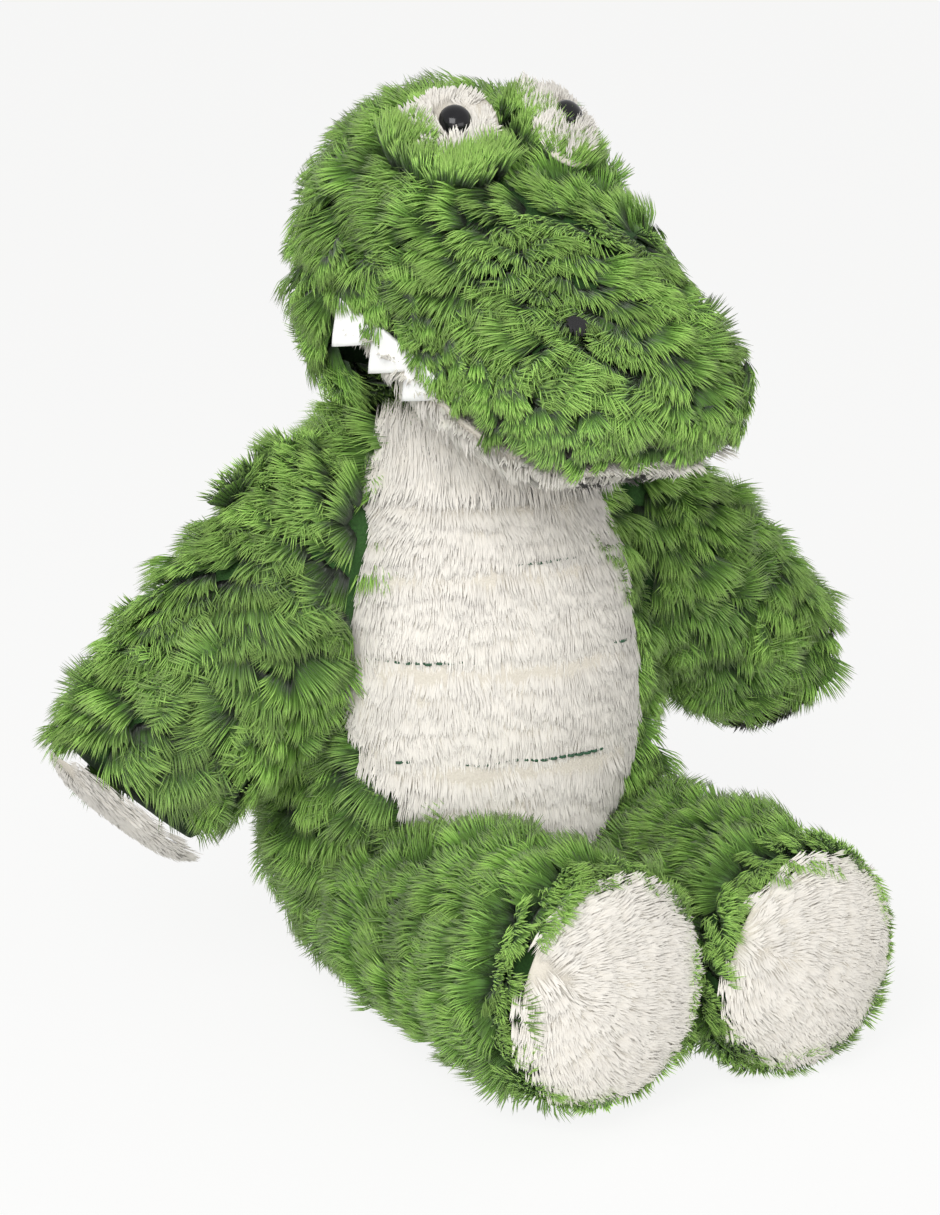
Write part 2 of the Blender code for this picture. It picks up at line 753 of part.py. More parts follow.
def limb_profile(sizes, grow):
    """A stuffed limb along its own Z, from its end, which has a bed for its pad, down to its root about the origin."""
    pad = sizes["pad"] + SEAM_GAP
    outer = sizes["end"] + grow
    body = sizes["length"] - sizes["edge"]
    bed = sizes["length"] - PAD_RECESS
    points = [(0, body + sizes["edge"] + grow)] if grow else [(0, bed), (pad, bed)]
    for a in quarter_turns(EDGE_RINGS):
        points.append((pad + (outer - pad) * math.cos(a), body + (sizes["edge"] + grow) * math.sin(a)))
    for i in range(1, LIMB_RINGS):
        share = 1 - i / LIMB_RINGS
        straight = sizes["root"] + (sizes["end"] - sizes["root"]) * share
        swell = (sizes["middle"] - (sizes["root"] + sizes["end"]) / 2) * math.sin(math.pi * share)
        points.append((straight + swell + grow, body * share))
    return points + root_profile(sizes["root"], grow)


def root_profile(radius, grow):
    """The round root of a moving piece. Its room ends flat instead, inside the ball that is cut for the root."""
    if grow:
        return [(radius + grow, 0), (0, 0)]
    points = arc(0, 0, radius, 0, -math.pi / 2, BALL_RINGS)
    points[-1] = (0, -radius)
    return points


def pad_profile(radius, length, crown):
    """A pale pad sewn into the end of a limb, domed outward."""
    floor = length - PAD_RECESS + SEAM_GAP
    rim = floor + PAD_EDGE
    points = [(radius * math.cos(a), rim + crown * math.sin(a)) for a in quarter_turns(EDGE_RINGS + 1)]
    points[0] = (0, rim + crown)
    return points + [(radius, floor), (0, floor)]


ARM_SIZES = {
    "length": ARM_LENGTH,
    "root": ARM_ROOT_RADIUS,
    "middle": ARM_RADIUS,
    "end": ARM_END_RADIUS,
    "edge": ARM_EDGE,
    "pad": PALM_RADIUS,
}
LEG_SIZES = {
    "length": LEG_LENGTH,
    "root": LEG_ROOT_RADIUS,
    "middle": LEG_RADIUS,
    "end": LEG_END_RADIUS,
    "edge": LEG_EDGE,
    "pad": SOLE_RADIUS,
}


def make_arms(green, cream, torso):
    for side, sign in SIDES:
        seam_way = Vector((sign * math.cos(SHOULDER_TILT), 0, math.sin(SHOULDER_TILT)))
        shoulder = Vector((sign * SHOULDER_HALF_SPREAD, 0, SHOULDER_HEIGHT))
        way = RIGHT_ARM_WAY if sign < 0 else LEFT_ARM_WAY
        arm = add_part("arm_" + side, turned("arm", limb_profile(ARM_SIZES, 0)), green)
        palm = add_part("palm_" + side, turned("palm", pad_profile(PALM_RADIUS, ARM_LENGTH, PALM_CROWN)), cream)
        for made in (arm, palm):
            place(made, shoulder, way)
            turn(made)
        inner = shoulder + seam_way * (SEAM_GAP / 2)
        outer = shoulder - seam_way * (SEAM_GAP / 2)
        cut(arm, half_space("arm seam " + side, inner, -seam_way, BLOCK_REACH))
        cut(torso, half_space("shoulder seat " + side, outer, seam_way, BLOCK_REACH))


def hip_point(sign):
    """A hip's centre: both lie on one line, turned a little to the toy's left."""
    across = Matrix.Rotation(LEG_YAW, 3, "Z") @ Vector((sign * HIP_HALF_SPREAD, 0, 0))
    return across + Vector((0, -HIP_FORWARD, HIP_HEIGHT))


def leg_way(lift):
    """The direction of a leg that is lifted by an angle from level."""
    level = Matrix.Rotation(LEG_YAW, 3, "Z")
    return level @ Vector((0, -math.cos(lift), math.sin(lift)))


def make_legs(green, cream, torso, panel):
    side_way = Matrix.Rotation(LEG_YAW, 3, "Z") @ Vector((1, 0, 0))
    middle = Vector((0, -HIP_FORWARD, HIP_HEIGHT))
    floor = half_space("floor", (0, 0, 0), (0, 0, -1), BLOCK_REACH)
    cut(torso, floor)
    for side, sign in SIDES:
        lift = RIGHT_LEG_LIFT if sign < 0 else LEFT_LEG_LIFT
        hip = hip_point(sign)
        leg = add_part("leg_" + side, turned("leg", limb_profile(LEG_SIZES, 0)), green)
        sole = add_part("sole_" + side, turned("sole", pad_profile(SOLE_RADIUS, LEG_LENGTH, SOLE_CROWN)), cream)
        for made in (leg, sole):
            place(made, hip, leg_way(lift))
            turn(made)
        cut(leg, floor)
        between = middle + side_way * sign * SEAM_GAP
        cut(leg, half_space("leg parting " + side, between, -side_way * sign, BLOCK_REACH))
        cut(torso, ball("hip socket " + side, hip, LEG_ROOT_RADIUS + WIDER * SWING_GAP))
        for end, angle in (("up", LEG_RAISE), ("down", -LEG_LOWER)):
            name = "leg room %s %s" % (side, end)
            room = add_cutter(name, turned(name, limb_profile(LEG_SIZES, SWING_GAP)))
            place(room, hip, leg_way(lift + angle))
            turn(room)
            cut(torso, room)
            if end == "up":
                cut(panel, room)
    sweep = LEG_LOWER + LEG_RAISE - RIGHT_LEG_LIFT
    under = fan(
        "leg sweep",
        middle,
        side_way,
        leg_way(LEG_RAISE),
        sweep,
        LEG_LENGTH,
        HIP_HALF_SPREAD + LEG_RADIUS + SWING_GAP,
    )
    cut(torso, under)


def tail_profile(grow):
    tip = TAIL_TIP_RADIUS + grow
    body = TAIL_LENGTH - TAIL_TIP_RADIUS
    points = arc(0, body, tip, math.pi / 2, 0, EDGE_RINGS)
    points[0] = (0, body + tip)
    for i in range(1, LIMB_RINGS):
        share = 1 - i / LIMB_RINGS
        swell = math.cos(math.pi / 2 * share) ** TAIL_TAPER_POWER
        points.append((TAIL_TIP_RADIUS + (TAIL_ROOT_RADIUS - TAIL_TIP_RADIUS) * swell + grow, body * share))
    return points + root_profile(TAIL_ROOT_RADIUS, grow)


def make_tail(green, torso):
    root = Vector((0, TAIL_ROOT_BACK, TAIL_ROOT_HEIGHT))
    way = Vector((0, math.cos(TAIL_DROOP), -math.sin(TAIL_DROOP)))
    tail = add_part("tail", turned("tail", tail_profile(0)), green)
    place(tail, root, way)
    turn(tail)
    cut(torso, ball("tail socket", root, TAIL_ROOT_RADIUS + WIDER * SWING_GAP))
    for sign in (-1, 1):
        room = add_cutter("tail room %d" % sign, turned("tail room", tail_profile(SWING_GAP)))
        place(room, root, Matrix.Rotation(sign * TAIL_WAG, 3, "Z") @ way)
        turn(room)
        cut(torso, room)
    first = Matrix.Rotation(-TAIL_WAG, 3, "Z") @ Vector((0, 1, 0))
    cut(torso, fan("tail sweep", root, (0, 0, 1), first, 2 * TAIL_WAG, TAIL_LENGTH, TAIL_ROOT_RADIUS + SWING_GAP))


clear_scene()
PARTS = new_collection("plush crocodile")
CUTTERS = new_collection("cutters")
CUTTERS.hide_render = True


def main():
    green = make_material("green pile", GREEN, 0.9)
    cream = make_material("cream pile", CREAM, 0.9)
    felt = make_material("white felt", FELT, 0.95)
    black = make_material("black plastic", BLACK, 0.08)
    clear = make_material("washer plastic", FELT, 0.4)
    thread = make_material("dark thread", THREAD, 0.7)
    torso = make_torso(green)
    panel = make_belly(cream, thread, torso)
    make_arms(green, cream, torso)
    make_legs(green, cream, torso, panel)
    make_tail(green, torso)
    make_neck(green)
    pivot, head = make_head(green)
    make_jaw(cream, pivot, head)
    make_teeth(felt, pivot, head)
    make_eyes(cream, black, clear, pivot, head)
    make_nostrils(black, pivot, head)


main()
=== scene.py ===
import math

import bpy
import numpy as np
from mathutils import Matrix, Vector


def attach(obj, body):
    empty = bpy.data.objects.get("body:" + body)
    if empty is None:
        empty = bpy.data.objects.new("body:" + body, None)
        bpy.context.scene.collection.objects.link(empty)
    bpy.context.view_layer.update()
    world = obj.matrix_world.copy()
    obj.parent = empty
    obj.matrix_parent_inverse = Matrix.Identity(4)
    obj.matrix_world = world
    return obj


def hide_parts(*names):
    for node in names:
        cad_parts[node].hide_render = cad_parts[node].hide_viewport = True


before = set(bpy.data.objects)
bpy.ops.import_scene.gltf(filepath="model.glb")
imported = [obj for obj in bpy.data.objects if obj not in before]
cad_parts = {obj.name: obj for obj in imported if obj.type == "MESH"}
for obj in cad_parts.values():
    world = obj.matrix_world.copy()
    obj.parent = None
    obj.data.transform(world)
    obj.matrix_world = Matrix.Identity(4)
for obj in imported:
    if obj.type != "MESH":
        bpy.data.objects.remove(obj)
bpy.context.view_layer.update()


# The studio: a plain pale floor that runs on to the horizon, a wide soft lamp above and in front,
# a weaker one from the other side, and a long lens 0.9 m away at the photograph's angle.
VIEW_TURN, VIEW_RISE, VIEW_DISTANCE, VIEW_HEIGHT = math.radians(-30), math.radians(14), 0.9, 0.118
SENSOR_WIDTH, PHOTO_HEIGHT, FOCAL_PIXELS, SHIFT_PIXELS = 36, 1215, 2950, 5
FLOOR_REACH, GLOW_WHERE_SEEN, GLOW_ALWAYS, ROOM_LIGHT = 9, 0.73, 0.15, 0.40
LAMPS = (("key lamp", (-1.05, -1.20, 0.98), 1.0, 26), ("fill lamp", (0.25, -1.5, 0.10), 0.9, 7.0))
LAMP_AIM = Vector((0, 0, 0.12))


def put(name, data):
    """An object of the scene that holds this data."""
    made = bpy.data.objects.new(name, data)
    bpy.context.scene.collection.objects.link(made)
    return made


def node(tree, kind, *numbered, **named):
    """A node of a tree, with its input sockets, by number or by name, set to values or joined to sockets."""
    made = tree.nodes.new("ShaderNode" + kind)
    given = dict(enumerate(numbered)) | {name.replace("_", " "): value for name, value in named.items()}
    for key, value in given.items():
        if isinstance(value, bpy.types.NodeSocket):
            tree.links.new(value, made.inputs[key])
        else:
            made.inputs[key].default_value = value
    return made


def math_node(tree, operation, *values):
    """The result of one sum on numbers or sockets."""
    made = node(tree, "Math", *values)
    made.operation = operation
    return made.outputs[0]


def bare_tree(owner):
    """The emptied node tree of a material or world."""
    owner.use_nodes = True
    owner.node_tree.nodes.clear()
    return owner.node_tree


def background_share(tree):
    """1 for rays that show the background, from the camera, off a gloss or through glass, else 0."""
    rays = node(tree, "LightPath").outputs
    seen = math_node(tree, "MAXIMUM", rays["Is Camera Ray"], rays["Is Glossy Ray"])
    return math_node(tree, "MAXIMUM", seen, rays["Is Transmission Ray"])


eye_way = Vector((math.sin(VIEW_TURN) * math.cos(VIEW_RISE), -math.cos(VIEW_TURN) * math.cos(VIEW_RISE),
                  math.sin(VIEW_RISE)))
camera = put("camera", bpy.data.cameras.new("camera"))
camera.data.sensor_width = SENSOR_WIDTH
camera.data.lens = SENSOR_WIDTH * FOCAL_PIXELS / PHOTO_HEIGHT
camera.data.shift_x = SHIFT_PIXELS / PHOTO_HEIGHT
camera.data.clip_start = 0.01
camera.location = Vector((0, 0, VIEW_HEIGHT)) + eye_way * VIEW_DISTANCE
camera.rotation_euler = (-eye_way).to_track_quat("-Z", "Y").to_euler()
bpy.context.scene.camera = camera
bpy.context.scene.view_settings.view_transform = "Standard"

floor_mesh = bpy.data.meshes.new("floor")
floor_corners = [(x * FLOOR_REACH, y * FLOOR_REACH, 0) for x, y in ((-1, -1), (1, -1), (1, 1), (-1, 1))]
floor_mesh.from_pydata(floor_corners, [], [(0, 1, 2, 3)])
paper = bpy.data.materials.new("white paper")
tree = bare_tree(paper)
share = math_node(tree, "MULTIPLY_ADD", background_share(tree), GLOW_WHERE_SEEN, GLOW_ALWAYS)
matt = node(tree, "BsdfDiffuse", Color=(0.90, 0.90, 0.89, 1))
glow = node(tree, "Emission", Color=(1, 1, 0.995, 1), Strength=1.0)
mixed = node(tree, "MixShader", share, matt.outputs[0], glow.outputs[0])
node(tree, "OutputMaterial", Surface=mixed.outputs[0])
floor_mesh.materials.append(paper)
put("floor", floor_mesh)

world = bpy.data.worlds.new("studio")
bpy.context.scene.world = world
tree = bare_tree(world)
strength = math_node(tree, "MULTIPLY_ADD", background_share(tree), 1 - ROOM_LIGHT, ROOM_LIGHT)
node(tree, "OutputWorld", Surface=node(tree, "Background", Color=(1, 1, 1, 1), Strength=strength).outputs[0])

for name, place, size, power in LAMPS:
    lamp = bpy.data.lights.new(name, "AREA")
    lamp.size = size
    lamp.energy = power
    made = put(name, lamp)
    made.location = place
    made.rotation_euler = (LAMP_AIM - Vector(place)).to_track_quat("-Z", "Y").to_euler()


# The torso's backing: the knitted green fabric that the pile grows from, sewn as a pear and stuffed hard,
# with a flat seat. It is a lofted closed form, a pile's depth inside the outline of the toy.
TORSO_HEIGHT, TORSO_HALF_WIDTH, TORSO_HALF_DEPTH, FLOOR_CUT = 0.179, 0.067, 0.059, 0.0005
TORSO_SHARES = ((0.00, 0.48, 0.54), (0.04, 0.63, 0.72), (0.11, 0.80, 0.87), (0.21, 0.93, 0.97),
                (0.32, 0.98, 1.00), (0.44, 0.94, 0.98), (0.56, 0.89, 0.94), (0.70, 0.85, 0.87),
                (0.80, 0.80, 0.79), (0.88, 0.70, 0.69), (0.95, 0.58, 0.58), (1.00, 0.46, 0.48))
GREEN_DEPTH, ROOT_COVER = 0.0070, 0.0004
DIMPLE_SIZE, DIMPLE_DEPTH, FABRIC_FLOOR = 0.03, 0.0007, 0.002
LOOP_SCALE, PATCH_SCALE = 1400.0, 60.0


def read_shares(table, at):
    """The columns of a table at any places in its first column: a cubic between each two rows, whose slope
    at a row is that of the straight line through the rows on both sides of it."""
    x, *columns = np.array(table).T
    k = np.clip(np.searchsorted(x, at, side="left") - 1, 0, len(x) - 2)
    span = x[k + 1] - x[k]
    t = np.clip((at - x[k]) / span, 0, 1)
    found = []
    for y in columns:
        slope = np.gradient(y, x)
        slope[1:-1] = (y[2:] - y[:-2]) / (x[2:] - x[:-2])
        found.append((2 * t**3 - 3 * t**2 + 1) * y[k] + (t**3 - 2 * t**2 + t) * span * slope[k]
                     + (3 * t**2 - 2 * t**3) * y[k + 1] + (t**3 - t**2) * span * slope[k + 1])
    return found


def xyz(x, y, z):
    """Points or directions from their three parts, each a number or an array."""
    return np.stack(np.broadcast_arrays(x, y, z), -1)


def unit(vectors):
    """Vectors at length 1."""
    return vectors / np.maximum(np.linalg.norm(vectors, axis=-1, keepdims=True), 1e-12)


def torso_size(level):
    """The torso's half width and half depth at a level above the floor, from the table."""
    wide, deep = read_shares(TORSO_SHARES, (level + FLOOR_CUT) / (TORSO_HEIGHT + FLOOR_CUT))
    return wide * TORSO_HALF_WIDTH, deep * TORSO_HALF_DEPTH


def torso_form(along, around):
    """The outline of the torso: an ellipse at each level, with its half width and half depth from the table.
    around is counted from straight ahead towards the toy's left."""
    level = along * (TORSO_HEIGHT + FLOOR_CUT) - FLOOR_CUT
    wide, deep = torso_size(level)
    return xyz(np.sin(around) * wide, -np.cos(around) * deep, level)


def normals_of(form, along, around):
    """Outward normals of a form: the cross product of its two tangents, each from a point to both sides."""
    step = 0.002
    low, high = np.clip(along - step, 0, 1), np.clip(along + step, 0, 1)
    up = form(high, around) - form(low, around)
    return unit(np.cross(form(along, around + step) - form(along, around - step), up))


def drift(points, size, seed, waves=7):
    """A smooth random number from -1 to 1 for each point: the mean of some sine waves of about that size."""
    chance = np.random.default_rng(seed)
    ways = unit(chance.normal(size=(waves, 3))) * (2 * math.pi / size) * chance.uniform(0.6, 1.5, (waves, 1))
    return np.clip(np.sin(points @ ways.T + chance.uniform(0, 6.28, waves)).mean(-1) * 2.0, -1, 1)


def ring_grid(low, high, rows, columns):
    """Places along and around a form: rows from low to high, each once round without a double."""
    return np.meshgrid(np.linspace(low, high, rows), np.linspace(0, 2 * math.pi, columns, endpoint=False),
                       indexing="ij")


def shell(name, rings, material):
    """A closed mesh through a grid of points whose rows are rings. The middle of each end ring closes it."""
    rows, columns = rings.shape[:2]
    points = np.concatenate([rings.reshape(-1, 3), [rings[0].mean(0)], [rings[-1].mean(0)]])
    edge = np.arange(columns)
    turn = (edge + 1) % columns
    row_starts = np.arange(rows - 1)[:, None] * columns
    start, after = (row_starts + edge).ravel(), (row_starts + turn).ravel()
    quads = np.stack([start, after, after + columns, start + columns], -1)
    base = (rows - 1) * columns
    caps = np.concatenate([np.stack([turn, edge, edge * 0 + rows * columns], -1),
                           np.stack([base + edge, base + turn, edge * 0 + rows * columns + 1], -1)])
    corners = points[np.concatenate([quads[:, [0, 1, 2]], quads[:, [0, 2, 3]], caps])]
    if np.einsum("ij,ij->i", corners[:, 0], np.cross(corners[:, 1], corners[:, 2])).sum() < 0:
        quads, caps = quads[:, ::-1], caps[:, ::-1]
    mesh = bpy.data.meshes.new(name)
    mesh.from_pydata(points.tolist(), [], quads.tolist() + caps.tolist())
    mesh.shade_smooth()
    mesh.materials.append(material)
    return put(name, mesh)


def stands_for(piece, body, replaced):
    """Puts a piece on a body in place of a CAD node, which it hides."""
    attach(piece, body)
    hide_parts(replaced)


def backing(name, body, replaced, form, depth, colour, low=0.0, high=1.0, rows=40, columns=48):
    """The fabric of a stuffed piece: its form moved inward by the pile's depth, with soft dimples of the
    stuffing, and never below the floor. colour holds its material first; its second part, the slot, is not
    used."""
    along, around = ring_grid(low, high, rows, columns)
    rings = form(along, around) - normals_of(form, np.clip(along, 0.01, 0.99), around) * depth
    rings += unit(rings - rings.mean((0, 1))) * drift(rings, DIMPLE_SIZE, 5)[..., None] * DIMPLE_DEPTH
    rings[..., 2] = np.maximum(rings[..., 2], FABRIC_FLOOR)
    made = shell(name, rings, colour[0])
    stands_for(made, body, replaced)
    return made


def new_material(name, **plain):
    """A material with its tree and its shader's sockets, of which those named here get plain values."""
    made = bpy.data.materials.new(name)
    made.use_nodes = True
    sockets = made.node_tree.nodes["Principled BSDF"].inputs
    for socket, value in plain.items():
        sockets[socket.replace("_", " ")].default_value = value
    return made, made.node_tree, sockets


def two_colours(tree, sockets, share, first, second):
    """A base colour that goes from the first to the second by a share."""
    mix = node(tree, "MixRGB", Fac=share, Color1=(*first, 1), Color2=(*second, 1))
    tree.links.new(mix.outputs[0], sockets["Base Color"])


def relief(tree, sockets, height, strength, distance, invert=False):
    """A bump of the surface by a height."""
    bump = node(tree, "Bump", Height=height, Strength=strength, Distance=distance)
    bump.invert = invert
    tree.links.new(bump.outputs[0], sockets["Normal"])


def fabric(name, colour, loop_shade):
    """Knitted backing: rows of small loops in the weave's own bump, darker between the loops as painted shade
    of the weave.
    """
    made, tree, sockets = new_material(name, Roughness=0.95)
    place = node(tree, "TexCoord").outputs["Object"]
    loops = node(tree, "TexVoronoi", Vector=place, Scale=LOOP_SCALE).outputs[0]
    patches = node(tree, "TexNoise", Vector=place, Scale=PATCH_SCALE, Detail=3.0).outputs[0]
    amount = math_node(tree, "MULTIPLY_ADD", patches, 0.5, math_node(tree, "MULTIPLY", loops, 0.5))
    two_colours(tree, sockets, amount, colour, loop_shade)
    relief(tree, sockets, loops, 0.5, 0.0003, invert=True)
    return made


# The backings are darker than the pile's fibres: painted shade where they show through the pile, between the
# tufts and in the quilting's valleys.
green_fabric = fabric("green backing", (0.035, 0.115, 0.020), (0.010, 0.035, 0.006)), "green pile"
cream_fabric = fabric("cream backing", (0.68, 0.64, 0.56), (0.58, 0.53, 0.45)), "cream pile"
backing("torso_backing", "torso", "torso", torso_form, GREEN_DEPTH - ROOT_COVER, green_fabric)


# The torso's pile: long soft polyester fibres, brushed into fan-shaped locks that lie over each other like
# shingles. Each lock is a thin sheet of fibres that ends in points, with single finer fibres over it.
FLOOR_GAP, FLOOR_SOFTNESS = 0.0005, 0.0009
FIBRES_PER_PIECE = 31000
SHEET_LENGTH_SHARE = 0.74
SINGLE_TONES, SHEET_TONES = 48, 16


def fibre_paths(roots, ways, outward, lengths, lifts, ends, curls, stations):
    """Paths of fibres from their roots. A direction goes evenly from the lift at the root to the lift at the
    end, so each path is a parabola, bent sideways by its curl times the square of the way along. Near the
    floor it flattens out. Returns the paths with their across and raised directions."""
    side = np.cross(ways, outward)[:, None]
    first = (ways * np.cos(lifts)[:, None] + outward * np.sin(lifts)[:, None])[:, None]
    last = (ways * np.cos(ends)[:, None] + outward * np.sin(ends)[:, None])[:, None]
    t = np.asarray(stations)[None, :, None]
    curl = curls[:, None, None]
    bent = first * (t - t * t / 2) + last * (t * t / 2) + side * curl * t * t
    path = roots[:, None] + lengths[:, None, None] * bent
    path[..., 2] = FLOOR_GAP + FLOOR_SOFTNESS * np.logaddexp(0, (path[..., 2] - FLOOR_GAP) / FLOOR_SOFTNESS)
    tangent = unit(first * (1 - t) + last * t + side * 2 * curl * t)
    across = unit(np.cross(tangent, outward[:, None]))
    return path, across, np.cross(across, tangent)


def put_mesh(name, points, faces, uvs, material):
    """One mesh of many equal bodies: points (bodies, corners, 3), the faces of one body, and a map place for
    each of its face corners."""
    count, size = points.shape[:2]
    pattern = np.array([i for face in faces for i in face])
    totals = np.tile([len(face) for face in faces], count)
    corners = pattern[None] + size * np.arange(count)[:, None]
    mesh = bpy.data.meshes.new(name)
    mesh.vertices.add(count * size)
    mesh.vertices.foreach_set("co", points.astype(np.float32).ravel())
    mesh.loops.add(len(pattern) * count)
    mesh.loops.foreach_set("vertex_index", corners.astype(np.int32).ravel())
    mesh.polygons.add(len(totals))
    mesh.polygons.foreach_set("loop_start", np.concatenate([[0], np.cumsum(totals)[:-1]]).astype(np.int32))
    layer = mesh.uv_layers.new(name="OFBake")
    layer.uv.foreach_set("vector", uvs[:, pattern].astype(np.float32).ravel())
    mesh.update(calc_edges=True)
    mesh.shade_smooth()
    mesh.materials.append(material)
    return put(name, mesh)


def map_places(tones, cells, u, v):
    """Map places: u within the cell that the tone picks, of a row of cells, and v along the fibre."""
    cell = np.clip((tones * cells).astype(int), 0, cells - 1)
    across = (cell[:, None] + 0.05 + 0.9 * u[None]) / cells
    return np.stack([across, np.tile(0.02 + 0.96 * v, (len(tones), 1))], -1)


def single_fibres(name, material, width, tones, soft, **paths):
    """Single fibres: from a point at the root to three corners near the end, and on to a point. soft turns
    their shading towards the surface that they grow from, since light goes through fine pale fibres."""
    stations = np.array([0.0, 0.74, 1.0])
    path, across, raised = fibre_paths(stations=stations, **paths)
    half = width[:, None] / 2
    corners = [-across[:, 1], across[:, 1], raised[:, 1]]
    points = np.stack([path[:, 0]] + [path[:, 1] + corner * half for corner in corners] + [path[:, 2]], 1)
    faces = [(0, 1, 2), (0, 2, 3), (0, 3, 1), (1, 4, 2), (2, 4, 3), (3, 4, 1)]
    u, v = np.array([0.5, 0.0, 1.0, 0.5, 0.5]), stations[[0, 1, 1, 1, 2]]
    made = put_mesh(name, points, faces, map_places(tones, SINGLE_TONES, u, v), material)
    if soft:
        outward = paths["outward"]
        own = np.stack([outward] + corners + [raised[:, 2]], 1)
        shading = unit(own * (1 - soft) + outward[:, None] * soft)
        made.data.normals_split_custom_set_from_vertices(shading.reshape(-1, 3).tolist())
    return made


def lock_sheets(name, material, columns, thick, tones, chance, **paths):
    """Locks as closed sheets: paths side by side, columns + 1 to a lock, with a top raised most in the middle
    and by chance at each column, a lower side, and between each two columns a point at the end."""
    stations = np.array([0.0, 0.42, 0.84])
    path, _, raised = fibre_paths(stations=stations, **paths)
    count, wide, rows = len(path) // (columns + 1), columns + 1, len(stations)
    path, raised = path.reshape(count, wide, rows, 3), raised.reshape(count, wide, rows, 3)
    tips = fibre_paths(stations=[1.0], **paths)[0].reshape(count, wide, 3)
    reach = chance.uniform(-0.35, 0.45, (count, columns, 1))
    ends = (tips[:, 1:] + tips[:, :-1]) / 2
    ends += (ends - (path[:, 1:, -1] + path[:, :-1, -1]) / 2) * reach
    dome = 1 - np.linspace(-1, 1, wide)[None, :, None, None] ** 2
    uneven = 0.6 + 0.8 * chance.uniform(0, 1, (count, wide, 1, 1))
    ridge = thick * (dome * uneven * np.array([0.5, 1, 0.5])[:, None])
    top, under = path + raised * ridge, path - raised * 0.35 * thick * dome
    top[..., 2] = np.maximum(top[..., 2], FLOOR_GAP)
    under[..., 2] = np.maximum(under[..., 2], FLOOR_GAP - 0.0001)
    points = np.concatenate([top.reshape(count, -1, 3), under[:, 1:-1, 1:].reshape(count, -1, 3), ends], 1)
    base = wide * rows
    tip = base + (wide - 2) * (rows - 1)

    def upper(i, j):
        """The corner of the top at a column and row."""
        return i * rows + j

    def lower(i, j):
        """The corner of the lower side, which is the top's own at the sides and at the root."""
        return upper(i, j) if i in (0, columns) or j == 0 else base + (i - 1) * (rows - 1) + j - 1

    faces = []
    last = rows - 1
    for i in range(columns):
        for j in range(last):
            faces.append((upper(i, j), upper(i + 1, j), upper(i + 1, j + 1), upper(i, j + 1)))
            faces.append((lower(i, j), lower(i, j + 1), lower(i + 1, j + 1), lower(i + 1, j)))
        faces.append((upper(i, last), upper(i + 1, last), tip + i))
        faces.append((lower(i + 1, last), lower(i, last), tip + i))
        if i > 0:
            faces.append((lower(i, last), upper(i, last), tip + i))
            faces.append((upper(i, last), lower(i, last), tip + i - 1))
    share = np.arange(wide) / columns
    middles = (share[1:] + share[:-1]) / 2
    u = np.concatenate([np.repeat(share, rows), np.repeat(share[1:-1], last), middles])
    v = np.concatenate([np.tile(stations, wide), np.tile(stations[1:], wide - 2), np.ones(columns)])
    return put_mesh(name, points, faces, map_places(tones, SHEET_TONES, u, v), material)


def numbered(counts):
    """For rows of so many places: the row of each place, and its number in the row."""
    row = np.repeat(np.arange(len(counts)), counts)
    return row, np.arange(len(row)) - np.repeat(np.cumsum(counts) - counts, counts)


def spots(form, spacing, low, high, seed):
    """Places for locks: rings a spacing apart along the form, with as many places round each ring as its
    length holds, staggered and moved a little by chance. Returns the places along and around."""
    chance = np.random.default_rng(seed)
    along, around = np.linspace(low, high, 120), np.linspace(0, 2 * math.pi, 145)
    grid = form(*np.meshgrid(along, around, indexing="ij"))
    climb = np.concatenate([[0], np.cumsum(np.linalg.norm(np.diff(grid, axis=0), axis=-1).mean(1))])
    rows = np.interp(np.arange(spacing / 2, climb[-1], spacing), climb, along)
    round_ring = np.linalg.norm(np.diff(form(*np.meshgrid(rows, around, indexing="ij")), axis=1), axis=-1)
    girth = np.concatenate([np.zeros((len(rows), 1)), np.cumsum(round_ring, 1)], 1)
    counts = np.maximum(3, np.rint(girth[:, -1] / spacing).astype(int))
    ring, step = numbered(counts)
    share = (step + 0.5 * (ring % 2) + chance.uniform(-0.35, 0.35, len(ring))) / counts[ring] % 1
    place = np.empty(len(ring))
    for row in range(len(rows)):
        mine = ring == row
        place[mine] = np.interp(share[mine] * girth[row, -1], girth[row], around)
    gap = (high - low) * spacing / climb[-1]
    return np.clip(rows[ring] + chance.uniform(-0.32, 0.32, len(ring)) * gap, low, high), place


def turned_about(vectors, axes, angles):
    """Vectors turned about unit axes at right angles to them."""
    return vectors * np.cos(angles)[:, None] + np.cross(axes, vectors) * np.sin(angles)[:, None]


